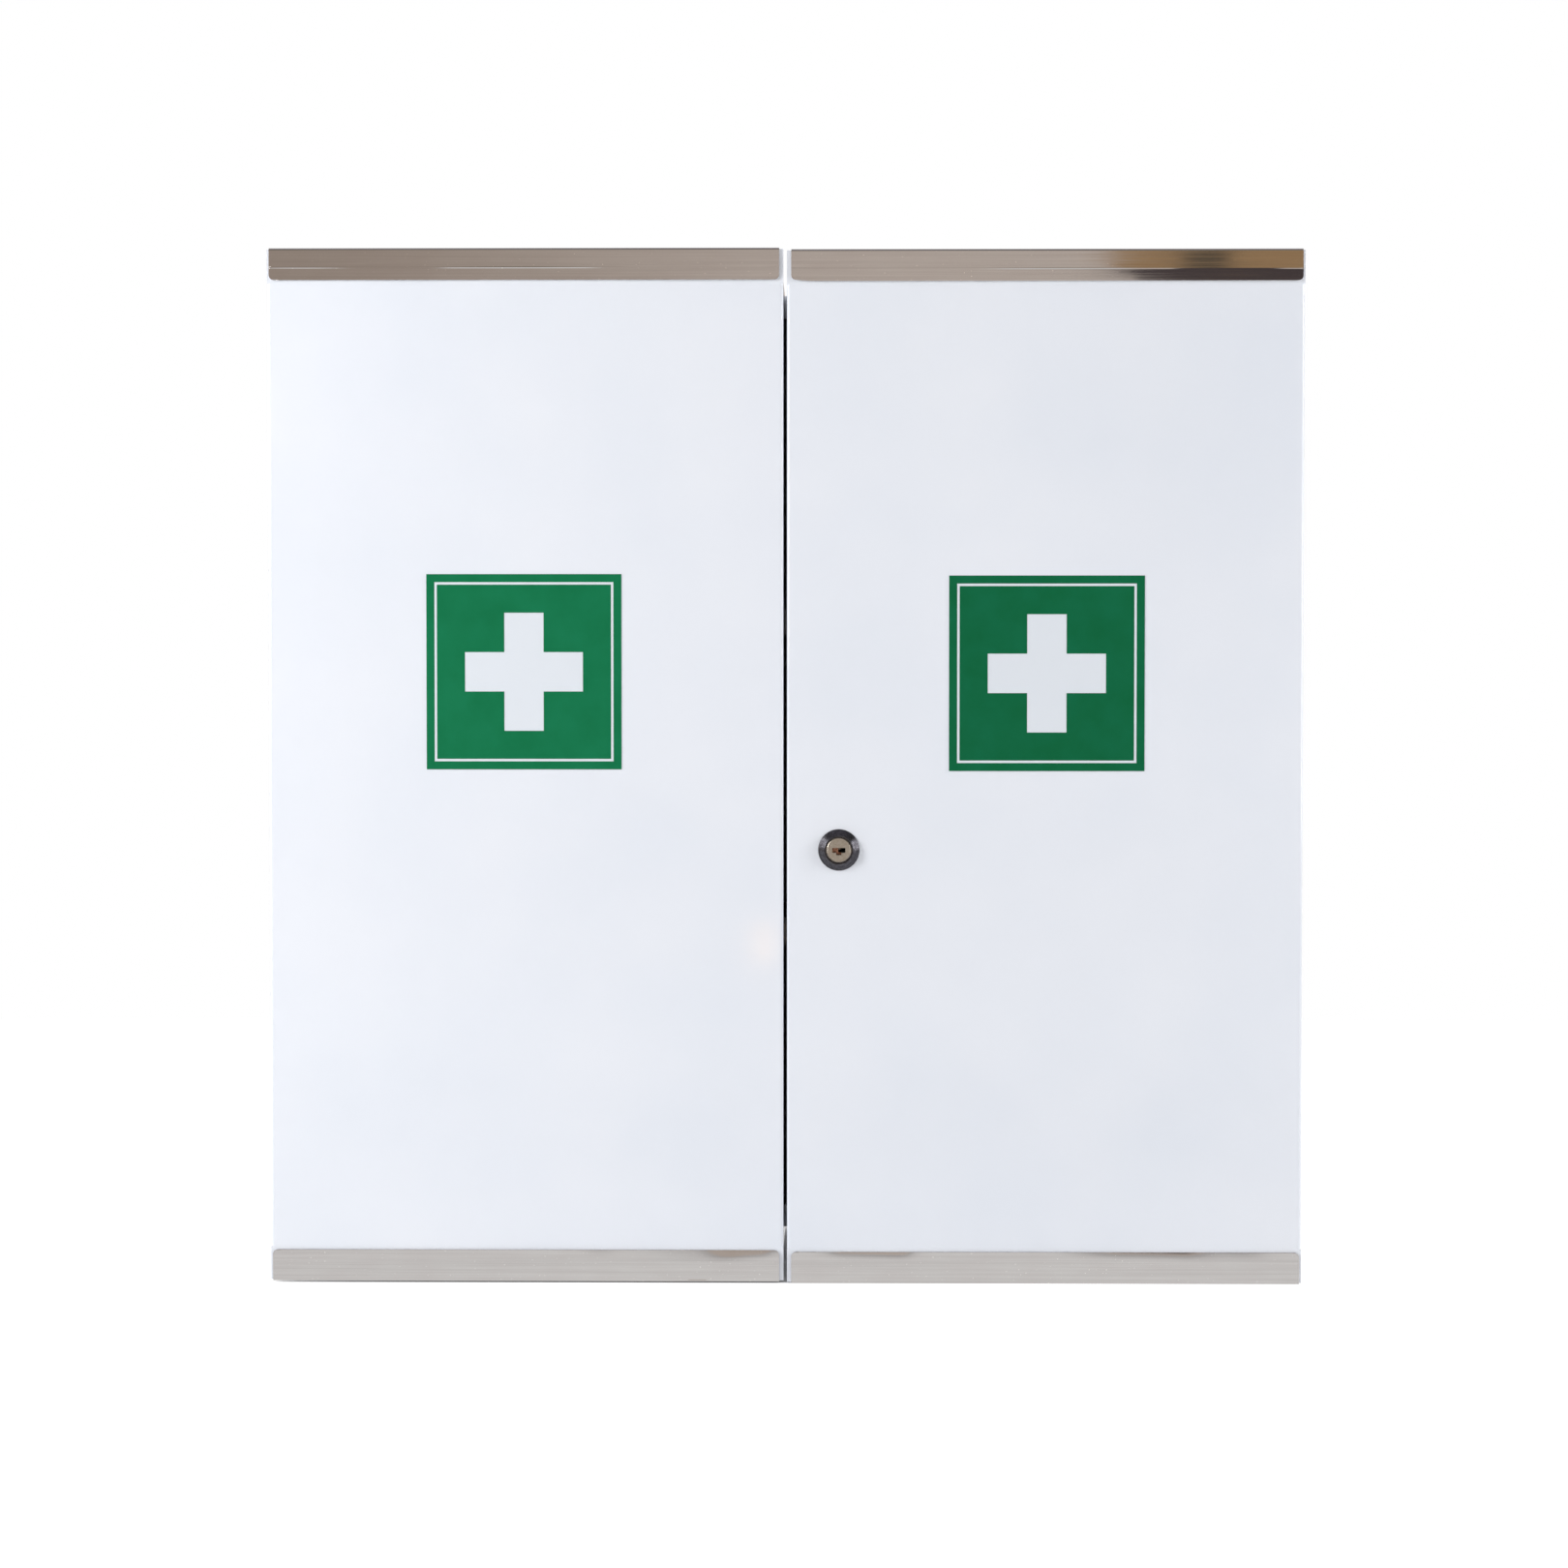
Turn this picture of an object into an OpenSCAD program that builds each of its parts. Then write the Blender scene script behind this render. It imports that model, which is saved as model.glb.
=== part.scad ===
// Lockable medicine cabinet: a steel wall cabinet with two deep doors.
// X runs to the right, Y runs into the wall and Z runs up, in millimetres.
// The origin is the middle of the back face, at the centre of the wall holes.

/* [Cabinet] */
// Width over the two doors
cabinet_w = 530; // [460:5:640]
// Height over the grip strips
cabinet_h = 530; // [460:5:640]
// Depth from the wall to the face of the doors
cabinet_d = 200; // [186:1:230]
// Depth of the fixed carcase behind the doors
carcase_d = 130; // [110:1:138]
// How far each carcase side stands inside the edge of its door
carcase_inset = 1; // [0.5:0.5:3]
// Thickness of the steel sheet
sheet_t = 1; // [0.8:0.1:1.5]
// Outside radius of the folds in the sheet
fold_r = 1.8; // [1.6:0.1:3]

/* [Carcase] */
// Width of the folded edges at the sides of the carcase
side_edge_w = 18; // [14:0.5:22]
// Width of the folded edges at the top and bottom of the carcase
cross_edge_w = 12; // [10:0.5:14]
// Depth of the edge folded down around each carcase shelf
shelf_edge_h = 14; // [10:0.5:20]
// Clearance around a sheet that is welded inside another
weld_gap = 0.3; // [0.1:0.1:0.6]
// Sideways distance between the wall holes
wall_hole_x = 440; // [300:5:450]
// Upright distance between the wall holes
wall_hole_z = 400; // [200:5:420]
// Radius of a wall hole
wall_hole_r = 4; // [3:0.5:5]

/* [Doors] */
// Gap between the two doors
door_gap = 1.8; // [1:0.1:4]
// Height of the grip lip that each door has above and below its tray
lip_h = 17.2; // [14:0.2:24]
// Width of the edge folded in behind a door at its meeting side
meet_edge_w = 9; // [6:0.5:10]
// Width of the edge folded in behind a door at its hinge side
hinge_edge_w = 18; // [16:0.5:22]
// Height of the edges on the shelves and ends of a door
door_edge_h = 11; // [8:0.5:14]
// Radius of a retaining rail
rail_r = 2; // [1.5:0.25:3]
// Height of a retaining rail above its shelf
rail_up = 31; // [24:1:34]
// How far the right door hangs lower than the left one
right_drop = 0.8; // [0:0.1:1.5]

/* [Grip strips] */
// Thickness of the stainless strip
strip_t = 0.6; // [0.5:0.1:0.8]
// Height of the facet that starts at the fold
strip_facet = 10; // [8:0.5:11]
// Height of the facet that ends at the free edge
strip_free = 6.3; // [5:0.1:8]
// How far the crease between the two facets stands out
strip_crease = 0.4; // [0.3:0.05:1]
// Radius of the corners on the free edge
strip_corner_r = 2.6; // [2:0.1:4]
// Length of the leg behind the lip
strip_back = 11; // [8:0.5:13]
// How far a strip ends inside the outer edge of its door
strip_out_in = 1.1; // [0.8:0.1:3]
// How far a strip ends inside the meeting edge of its door
strip_meet_in = 2.2; // [1:0.1:4]
// Air between the lip and the top of the leg in front of it
strip_air = 0.2; // [0.1:0.05:0.4]

/* [Signs] */
// Side of the square sign
sign_side = 100; // [80:1:120]
// Height of the middle of the sign above the middle of the door
sign_up = 48.7; // [30:0.1:60]
// How far the sign stands off the middle of the door, away from the other door
sign_off = 0.9; // [0:0.1:5]
// Distance from the edge of the sign to the white line
line_in = 4.1; // [3:0.1:6]
// Width of the white line
line_w = 1.3; // [1:0.1:2]
// Length of the cross
cross_l = 60.5; // [50:0.5:70]
// Width of an arm of the cross
cross_arm = 20.2; // [16:0.2:24]
// Thickness of the white film
film_t = 0.2; // [0.15:0.05:0.3]
// Thickness of the green print on the film
print_t = 0.1; // [0.1:0.05:0.2]

/* [Lock] */
// Distance from the meeting edge of the right door to the lock
lock_in = 26.6; // [26:0.2:30]
// Height of the lock above the lower carcase shelf
lock_up = 39.5; // [38:0.5:44]
// Radius of the dark rosette on the face
rosette_r = 10.6; // [10.4:0.1:13]
// How far the rosette stands out
rosette_h = 3.4; // [2.6:0.1:5]
// Radius of the turning plug
plug_r = 6.5; // [6:0.1:7]
// Distance across the flats of the plug's face
plug_flats = 12.6; // [11.8:0.1:12.8]
// Radius of the lock's threaded body
body_r = 8.6; // [8:0.1:9.2]
// Length of the lock's body behind the face of the door
lock_l = 22; // [20:0.5:28]
// Clearance between the plug and the body
turn_gap = 0.05; // [0.02:0.01:0.1]
// Length of the cam from its pivot to its tip
cam_l = 32; // [30:0.5:34]
// Width of the cam
cam_w = 11; // [9:0.5:13]
// Thickness of the cam
cam_t = 2; // [1.5:0.1:3]
// Width of the key slot
key_w = 6.7; // [6:0.1:7.5]
// Height of the key slot
key_h = 2.3; // [2:0.1:2.6]

/* [Keepers and bolt] */
// Width of a keeper
keeper_w = 20; // [16:0.5:21]
// Thickness of a keeper
keeper_t = 1.5; // [1.2:0.1:2]
// How much of the cam or bolt stands behind its keeper when locked
hook_h = 8; // [6:0.5:9]
// Air between a keeper and what hooks behind it
hook_gap = 0.6; // [0.4:0.1:1]
// Width of the bolt on the left door
bolt_w = 10; // [8:0.5:12]
// Thickness of the bolt
bolt_t = 3; // [2.5:0.1:4]
// How far the bolt slides
bolt_travel = 13; // [12:0.5:14]
// Clearance around the bolt in its guide
slide_gap = 0.4; // [0.3:0.05:0.6]

/* [Hinges] */
// Height of a hinge
hinge_h = 60; // [50:1:80]
// Distance from the middle of a hinge to the end of the carcase
hinge_end = 60; // [45:1:90]
// Outside radius of the knuckles
knuckle_r = 3.5; // [3:0.1:4]
// Radius of the hinge pin
pin_r = 1.5; // [1.2:0.05:1.7]
// Clearance between the pin and the turning knuckles
pin_gap = 0.05; // [0.02:0.01:0.1]
// Thickness of a hinge leaf
leaf_t = 1; // [0.8:0.1:1.4]
// Air between the two leaves of a closed hinge
leaf_gap = 0.4; // [0.3:0.1:0.8]
// Width of a leaf on its flange
leaf_w = 15; // [12:0.5:17]
// Upright air between two knuckles
knuckle_gap = 0.3; // [0.3:0.05:0.6]

/* [Catches and buffers] */
// Width of a magnetic catch
catch_w = 34; // [28:1:40]
// Depth of a magnetic catch
catch_d = 14; // [12:0.5:18]
// Distance from the middle of the cabinet to the middle of a catch
catch_x = 42; // [36:1:60]
// Air between a magnet or a buffer and the door
touch_gap = 0.4; // [0.3:0.05:0.6]
// Radius of a rubber buffer
buffer_r = 4; // [3:0.5:5]

/* [Hidden] */
$fn = 48;
// The whole model is cut from these planes
x_out = cabinet_w / 2;
x_meet = door_gap / 2;
x_wall = x_out - carcase_inset;
x_in = x_wall - sheet_t;
y_face = -cabinet_d;
y_skin = y_face + sheet_t;
y_front = -carcase_d;
joint_gap = 2 * leaf_t + leaf_gap;
y_rear = y_front - joint_gap;
z_lip = cabinet_h / 2 - strip_t;
z_tray = z_lip - lip_h;
z_in = z_tray - sheet_t;
// Shelves share out the inside height evenly
carcase_bays = 3;
door_bays = 4;
carcase_pitch = 2 * z_in / carcase_bays;
door_pitch = 2 * z_in / door_bays;
// Inside faces of the two side walls of a door
x_door_in = [x_meet + sheet_t, x_out - sheet_t];
// Middle of the rails, just inside the folded edges
y_lip = y_rear - sheet_t - weld_gap;
y_rail = y_lip - sheet_t - rail_r - weld_gap;
// Lock, cam and keeper
lock_x = x_meet + lock_in;
lock_z = floor_of_bay(1) + lock_up;
bore_r = plug_r + turn_gap;
collar_r = body_r + 0.8;
collar_t = 1;
nut_flat_r = body_r + 2.4;
nut_t = 4;
plug_back = 0.4;
y_cam = y_face + lock_l;
cam_air = 0.3;
stub = 7;
stub_gap = 0.1;
screw_r = 2;
screw_head_r = 4.5;
wafers = 5;
wafer_t = 0.6;
wafer_step = 2.2;
keeper_top = lock_z - cam_l + hook_h;
keeper_floor = floor_of_bay(1);
keeper_foot = 16;
y_keeper = y_cam - hook_gap;
rivet_r = 1.6;
rivet_head_r = 3.2;
rivet_head_t = 0.9;
rivet_gap = 0.05;
// Slide bolt on the left door, behind the keeper's plane as the cam is
bolt_low = keeper_top + 6;
bolt_l = 44;
knob_stem_r = 2.5;
knob_r = 6;
knob_t = 7;
knob_z = bolt_low + 0.7 * bolt_l;
y_guide = y_cam + bolt_t + slide_gap;
loop_h = 5;
guide_low = bolt_low + 4;
guide_high = bolt_low + bolt_l - 2;
loop_top = bolt_low + bolt_l - bolt_travel - loop_h - 1;
guide_wall_d = 14;
// Hinges
x_pin = x_out + 0.3 + knuckle_r;
y_pin = y_front - joint_gap / 2;
knuckles = 5;
knuckle_h = (hinge_h - (knuckles - 1) * knuckle_gap) / knuckles;
hinge_z = z_tray - hinge_end;
pin_head_r = pin_r + 1;
pin_head_t = 1.2;
// Magnets and buffers stop just short of the closed door
magnet_w = 20;
magnet_h = 5;
y_touch = y_rear + touch_gap;
rivet_in = 30;
WHITE = "#eef1f6";
STAINLESS = "#b3aba3";
ZINC = "#b9b7b2";
CHARCOAL = "#3c3b41";
NICKEL = "#aaa193";
GREEN = "#1c7446";
BRASS = "#b0784a";
BLACK = "#26272a";

HINGE_ENDS = ["upper", "lower"];

// Top face of the shelf under a carcase bay, counted from the bottom
function floor_of_bay(i) = -z_in + i * carcase_pitch;
// Top face of the shelf under a door bay, counted from the bottom
function floor_of_door_bay(i) = -z_in + i * door_pitch;

// A block between two values on each axis
module slab(x, y, z) {
    translate([x[0], y[0], z[0]])
        cube([x[1] - x[0], y[1] - y[0], z[1] - z[0]]);
}

// A round bar along Y
module bar_y(r, y) {
    translate([0, y[1], 0])
        rotate([90, 0, 0])
            cylinder(r = r, h = y[1] - y[0]);
}

// Doors and hinges are drawn on the right and mirrored for the left
module on_side(side) {
    if (side == "right") children();
    else mirror([1, 0, 0]) children();
}

// Places what belongs to a door's own sheet work, which hangs lower on the right
module in_door(side) {
    translate([0, 0, side == "right" ? -right_drop : 0])
        on_side(side) children();
}

module both_sides() {
    children();
    mirror([1, 0, 0]) children();
}

module both_ends() {
    children();
    mirror([0, 0, 1]) children();
}

// A rectangle with its middle at the origin and round corners
module round_rect(w, h, r) {
    square([w - 2 * r, h], center = true);
    square([w, h - 2 * r], center = true);
    for (x = [-1, 1], y = [-1, 1])
        translate([x * (w / 2 - r), y * (h / 2 - r)])
            circle(r = r);
}

// Carcase
module rivet_places() {
    for (i = [1, 2], y = [y_front + rivet_in, -rivet_in])
        translate([0, y, floor_of_bay(i) - shelf_edge_h / 2])
            children();
}

module carcase_shell() {
    color(WHITE)
        difference() {
            union() {
                difference() {
                    shell_block(x_wall, z_tray, fold_r, [y_front, 0]);
                    shell_block(x_in, z_in, fold_r - sheet_t, [y_front - 1, 1]);
                }
                folded_ring([y_front, y_front + sheet_t]);
                folded_ring([-2 * sheet_t, -sheet_t]);
            }
            both_sides()
                rivet_places()
                    rotate([0, 90, 0])
                        cylinder(r = rivet_r + rivet_gap, h = x_out);
            both_sides()
                slab(magnet_x(weld_gap), [y_front - 1, y_front + 2 * sheet_t], magnet_z(weld_gap));
        }
}

module shell_block(x, z, r, y) {
    translate([0, y[1], 0])
        rotate([90, 0, 0])
            linear_extrude(y[1] - y[0])
                round_rect(2 * x, 2 * z, r);
}

module folded_ring(y) {
    difference() {
        shell_block(x_wall - sheet_t / 2, z_tray - sheet_t / 2, sheet_t / 2, y);
        slab([side_edge_w - x_wall, x_wall - side_edge_w], [y[0] - 1, y[1] + 1],
             [cross_edge_w - z_tray, z_tray - cross_edge_w]);
    }
}

module back_panel() {
    color(WHITE)
        difference() {
            slab([weld_gap - x_in, x_in - weld_gap], [-sheet_t, 0], [weld_gap - z_in, z_in - weld_gap]);
            for (x = [-1, 1], z = [-1, 1])
                translate([x * wall_hole_x / 2, 0, z * wall_hole_z / 2])
                    bar_y(wall_hole_r, [-2 * sheet_t, sheet_t]);
        }
}

// A shelf with edges folded down at the front, at the back and against the side walls
module carcase_shelf(i) {
    top = floor_of_bay(i);
    y = [y_front + sheet_t + weld_gap, -2 * sheet_t - weld_gap];
    color(WHITE)
        difference() {
            slab([-x_in, x_in], y, [top - shelf_edge_h, top]);
            slab([sheet_t - x_in, x_in - sheet_t], [y[0] + sheet_t, y[1] - sheet_t],
                 [top - shelf_edge_h - 1, top - sheet_t]);
            both_sides()
                rivet_places()
                    rotate([0, 90, 0])
                        cylinder(r = rivet_r + rivet_gap, h = x_out);
            if (i == 1)
                both_sides()
                    keeper_rivet_places()
                        cylinder(r = rivet_r + rivet_gap, h = 4 * sheet_t, center = true);
        }
}

module upper_shelf() {
    carcase_shelf(2);
}

module lower_shelf() {
    carcase_shelf(1);
}

// A pop rivet that starts at the origin, with its head below and its tail above the grip
module rivet(grip) {
    rotate_extrude()
        polygon([[0, -rivet_head_t], [rivet_head_r * 0.6, -rivet_head_t], [rivet_head_r, 0], [rivet_r, 0],
                 [rivet_r, grip], [rivet_r * 1.5, grip], [rivet_r * 1.3, grip + rivet_head_t],
                 [0, grip + rivet_head_t]]);
}

module shelf_rivets() {
    color(ZINC)
        both_sides()
            rivet_places()
                translate([x_wall, 0, 0])
                    rotate([0, -90, 0])
                        rivet(2 * sheet_t);
}

// Keepers stand forward from the lower shelf into the open backs of the doors
module keeper_rivet_places() {
    for (x = [-1, 1])
        translate([lock_x + x * keeper_w / 4, y_front + keeper_foot * 0.6, keeper_floor])
            children();
}

module keeper() {
    x = [lock_x - keeper_w / 2, lock_x + keeper_w / 2];
    y = [y_keeper - keeper_t, y_front + keeper_foot];
    color(ZINC)
        difference() {
            slab(x, y, [keeper_floor, keeper_top]);
            slab([x[0] - 1, x[1] + 1], [y_keeper, y[1] + 1], [keeper_floor + keeper_t, keeper_top + 1]);
            keeper_rivet_places()
                cylinder(r = rivet_r + rivet_gap, h = 4 * keeper_t, center = true);
        }
}

module right_keeper() {
    keeper();
}

module left_keeper() {
    mirror([1, 0, 0]) keeper();
}

module keeper_rivets() {
    color(ZINC)
        both_sides()
            keeper_rivet_places()
                translate([0, 0, -sheet_t])
                    rivet(sheet_t + keeper_t);
}

// Magnetic catches sit behind the top edge, with their magnets through slots in it
function magnet_x(gap) = [catch_x - magnet_w / 2 - gap, catch_x + magnet_w / 2 + gap];
function magnet_z(gap) = [z_tray - cross_edge_w / 2 - magnet_h / 2 - gap,
                          z_tray - cross_edge_w / 2 + magnet_h / 2 + gap];

module catch_cases() {
    y = [y_front + sheet_t, y_front + sheet_t + catch_d];
    color(WHITE)
        both_sides()
            difference() {
                slab([catch_x - catch_w / 2, catch_x + catch_w / 2], y, [z_tray - cross_edge_w, z_in]);
                slab(magnet_x(0), [y[0] - 1, y[0] + catch_d / 2], magnet_z(0));
            }
}

module catch_magnets() {
    color(ZINC)
        both_sides()
            slab(magnet_x(0), [y_touch, y_front + sheet_t + catch_d / 2], magnet_z(0));
}

module door_buffers() {
    r = buffer_r;
    h = y_front - y_touch;
    color(BLACK)
        both_sides()
            for (x = [catch_x, x_wall * 0.6])
                translate([x, y_front, cross_edge_w / 2 - z_tray])
                    rotate([90, 0, 0])
                        rotate_extrude()
                            polygon([[0, 0], [r, 0], [r, h / 2], [r * 0.7, h], [0, h]]);
}

// Hinges: the frame leaf has the odd knuckles and the door leaf the even ones
module hinge_place(side, end) {
    on_side(side)
        translate([x_pin, y_pin, (end == "upper" ? 1 : -1) * hinge_z - hinge_h / 2])
            children();
}

module knuckle_stack(first, bore) {
    step = knuckle_h + knuckle_gap;
    for (i = [first : 2 : knuckles - 1])
        translate([0, 0, i * step])
            difference() {
                union() {
                    cylinder(r = knuckle_r, h = knuckle_h);
                    slab([-knuckle_r - 1.5, 0], leaf_y(), [0, knuckle_h]);
                }
                translate([0, 0, -1])
                    cylinder(r = bore, h = knuckle_h + 2);
            }
}

// The leaf plate beside the pin, drawn for the frame and turned over for the door
function leaf_y() = [joint_gap / 2 - leaf_t, joint_gap / 2];

module frame_leaf(side, end) {
    color(ZINC)
        hinge_place(side, end) {
            knuckle_stack(0, pin_r);
            slab([-knuckle_r - leaf_w, -knuckle_r - knuckle_gap], leaf_y(), [0, hinge_h]);
        }
}

module door_leaf(side, end) {
    color(ZINC)
        hinge_place(side, end)
            mirror([0, 1, 0]) {
                knuckle_stack(1, pin_r + pin_gap);
                slab([-knuckle_r - leaf_w, -knuckle_r - knuckle_gap], leaf_y(), [0, hinge_h]);
            }
}

module hinge_pin(side, end) {
    color(ZINC)
        hinge_place(side, end) {
            cylinder(r = pin_r, h = hinge_h);
            for (z = [-pin_head_t, hinge_h])
                translate([0, 0, z])
                    cylinder(r = pin_head_r, h = pin_head_t);
        }
}

// Doors
module door_outline(x, y, r) {
    translate([(x[0] + x[1]) / 2, (y[0] + y[1]) / 2])
        round_rect(x[1] - x[0], y[1] - y[0], r);
}

// One folded sheet: the face with its two grip lips, the side walls and the edges behind
module door_skin() {
    translate([0, 0, -z_tray])
        linear_extrude(2 * z_tray)
            difference() {
                door_outline([x_meet, x_out], [y_face, y_rear], fold_r);
                door_outline(x_door_in, [y_skin, y_rear - sheet_t], fold_r - sheet_t);
                translate([x_meet + meet_edge_w, y_rear - 2 * sheet_t])
                    square([x_out - x_meet - meet_edge_w - hinge_edge_w, 3 * sheet_t]);
            }
    both_ends()
        slab([x_meet, x_out], [y_face, y_skin], [z_tray, z_lip]);
}

module left_door_skin() {
    color(WHITE)
        in_door("left") door_skin();
}

module right_door_skin() {
    color(WHITE)
        difference() {
            in_door("right") door_skin();
            at_lock() bar_y(body_r + 0.1, [y_face - 1, y_skin + 1]);
        }
}

// The top of a tray: a plate with an edge down behind the face and another at the open back
module door_end() {
    x_mid = [x_meet + meet_edge_w + weld_gap, x_out - hinge_edge_w - weld_gap];
    color(WHITE) {
        slab(x_door_in, [y_skin, y_rear - sheet_t], [z_in, z_tray]);
        slab(x_mid, [y_skin, y_rear], [z_in, z_tray]);
        slab(x_mid, [y_rear - sheet_t, y_rear], [z_tray - door_edge_h, z_tray]);
        slab(x_door_in, [y_skin, y_skin + sheet_t], [z_tray - door_edge_h, z_tray]);
    }
}

module door_top(side) {
    in_door(side) door_end();
}

module door_bottom(side) {
    in_door(side)
        mirror([0, 0, 1]) door_end();
}

// A shelf with an edge down behind the face and an edge up at the open back
module door_shelf(side, i) {
    top = floor_of_door_bay(i);
    color(WHITE)
        in_door(side) {
            slab(x_door_in, [y_skin, y_lip], [top - sheet_t, top]);
            slab(x_door_in, [y_lip - sheet_t, y_lip], [top - sheet_t, top + door_edge_h]);
            slab(x_door_in, [y_skin, y_skin + sheet_t], [top - door_edge_h, top]);
        }
}

module door_rails(side) {
    color(STAINLESS)
        in_door(side)
            for (i = [0 : door_bays - 1])
                translate([x_door_in[0], y_rail, floor_of_door_bay(i) + rail_up])
                    rotate([0, 90, 0])
                        cylinder(r = rail_r, h = x_door_in[1] - x_door_in[0]);
}

// Grip strips: sheet folded over the lip, with a creased front leg
function strip_front() = [
    [y_face - strip_air, z_lip],
    [y_face - strip_air - strip_crease, cabinet_h / 2 - strip_facet],
    [y_face, cabinet_h / 2 - strip_facet - strip_free]
];

module strip_section() {
    p = strip_front();
    back = y_skin;
    polygon([
        p[0], p[1], p[2], p[2] - [strip_t, 0], p[1] - [strip_t, 0],
        [p[0][0] - strip_t, cabinet_h / 2], [back + strip_t, cabinet_h / 2],
        [back + strip_t, cabinet_h / 2 - strip_back], [back, cabinet_h / 2 - strip_back],
        [back, z_lip]
    ]);
}

module strip_corner_cut() {
    r = strip_corner_r;
    difference() {
        square(2 * r);
        translate([r, r]) circle(r = r);
        translate([r, 0]) square(2 * r);
        translate([0, r]) square(2 * r);
    }
}

module grip() {
    x = [x_meet + strip_meet_in, x_out - strip_out_in];
    foot = cabinet_h / 2 - strip_facet - strip_free;
    color(STAINLESS)
        difference() {
            translate([x[0], 0, 0])
                rotate([90, 0, 90])
                    linear_extrude(x[1] - x[0])
                        strip_section();
            for (end = [0, 1])
                translate([x[end], y_face, foot])
                    mirror([end, 0, 0])
                        rotate([90, 0, 0])
                            linear_extrude(4 * strip_t + 2 * strip_crease)
                                strip_corner_cut();
        }
}

module top_grip(side) {
    in_door(side) grip();
}

module bottom_grip(side) {
    in_door(side)
        mirror([0, 0, 1]) grip();
}

// Signs: a white film with the green printed round a bare line and a bare cross
module on_sign(side, y) {
    in_door(side)
        translate([(x_meet + x_out) / 2 + sign_off, y, sign_up])
            rotate([90, 0, 0])
                children();
}

module sign_film(side) {
    color("white")
        on_sign(side, y_face)
            linear_extrude(film_t)
                square(sign_side, center = true);
}

module sign_print(side) {
    line_side = sign_side - 2 * line_in;
    color(GREEN)
        on_sign(side, y_face - film_t)
            linear_extrude(print_t)
                difference() {
                    square(sign_side, center = true);
                    difference() {
                        square(line_side, center = true);
                        square(line_side - 2 * line_w, center = true);
                    }
                    square([cross_l, cross_arm], center = true);
                    square([cross_arm, cross_l], center = true);
                }
}

// Lock
module at_lock() {
    translate([lock_x, 0, lock_z]) children();
}

// Turns a profile of radius and height so that its height runs out of the face
module out_of_face(y) {
    at_lock()
        translate([0, y, 0])
            rotate([90, 0, 0])
                children();
}

module lock_rosette() {
    lip_r = bore_r + 0.3;
    seat = collar_t + 0.1;
    color(CHARCOAL)
        out_of_face(y_face)
            rotate_extrude()
                polygon([
                    [collar_r + 0.1, 0], [rosette_r, 0], [rosette_r, 0.5],
                    [lip_r + 0.8, rosette_h], [lip_r, rosette_h - 0.3],
                    [lip_r, seat], [collar_r + 0.1, seat]
                ]);
}

module lock_body() {
    color(NICKEL)
        at_lock()
            difference() {
                union() {
                    bar_y(body_r, [y_face - collar_t, y_cam - cam_air]);
                    bar_y(collar_r, [y_face - collar_t, y_face]);
                }
                bar_y(bore_r, [y_face - 2 * collar_t, y_cam + 1]);
            }
}

module lock_nut() {
    color(ZINC)
        at_lock()
            difference() {
                translate([0, y_skin + nut_t, 0])
                    rotate([90, 0, 0])
                        cylinder(r = nut_flat_r / cos(30), h = nut_t, $fn = 6);
                bar_y(body_r + 0.05, [y_skin - 1, y_skin + nut_t + 1]);
            }
}

// Slots across the plug that hold the wafers
module wafer_place(i) {
    translate([0, y_face + 1 + i * wafer_step, 0])
        children();
}

module lock_plug() {
    face = y_face - rosette_h + plug_back;
    flat_d = 1.4;
    color(NICKEL)
        at_lock()
            difference() {
                union() {
                    intersection() {
                        bar_y(plug_r, [face, face + flat_d]);
                        slab([-plug_flats / 2, plug_flats / 2], [face, face + flat_d], [-plug_r, plug_r]);
                    }
                    bar_y(plug_r, [face + flat_d, y_cam - cam_air]);
                    slab([-stub / 2, stub / 2], [y_cam - cam_air, y_cam + cam_t], [-stub / 2, stub / 2]);
                }
                slab([-key_w / 2, key_w / 2], [face - 1, y_cam - 6], [-key_h / 2, key_h / 2]);
                slab([-key_w / 5, key_w / 5], [face - 1, y_cam - 6], [-key_h, 0]);
                for (i = [0 : wafers - 1])
                    wafer_place(i) slab(wafer_x(stub_gap), [0, wafer_t + stub_gap], wafer_z(stub_gap));
                bar_y(screw_r, [y_cam - 5, y_cam + cam_t + 1]);
            }
}

function wafer_x(gap) = [-plug_r * 0.86 - gap, plug_r * 0.86 + gap];
function wafer_z(gap) = [-key_h - 0.6, key_h + gap];

// Each wafer has a window for the key, and they sit left and right in turn
module lock_wafers() {
    window = key_w * 0.8;
    color(BRASS)
        at_lock()
            for (i = [0 : wafers - 1])
                wafer_place(i)
                    difference() {
                        slab(wafer_x(0), [0, wafer_t], wafer_z(0));
                        translate([(i % 2 == 0 ? 1 : -1) * key_w * 0.12, 0, 0])
                            slab([-window / 2, window / 2], [-1, wafer_t + 1], [-key_h * 0.6, key_h * 0.6]);
                    }
}

// The cam points away from the meeting edge when unlocked, and down when locked
module lock_cam() {
    hub_r = cam_w / 2 + 1.5;
    tip_r = cam_w / 2;
    color(ZINC)
        at_lock()
            difference() {
                union() {
                    bar_y(hub_r, [y_cam, y_cam + cam_t]);
                    slab([0, cam_l - tip_r], [y_cam, y_cam + cam_t], [-tip_r, tip_r]);
                    translate([cam_l - tip_r, 0, 0])
                        bar_y(tip_r, [y_cam, y_cam + cam_t]);
                }
                slab([-stub / 2 - stub_gap, stub / 2 + stub_gap], [y_cam - 1, y_cam + cam_t + 1],
                     [-stub / 2 - stub_gap, stub / 2 + stub_gap]);
            }
}

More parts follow.
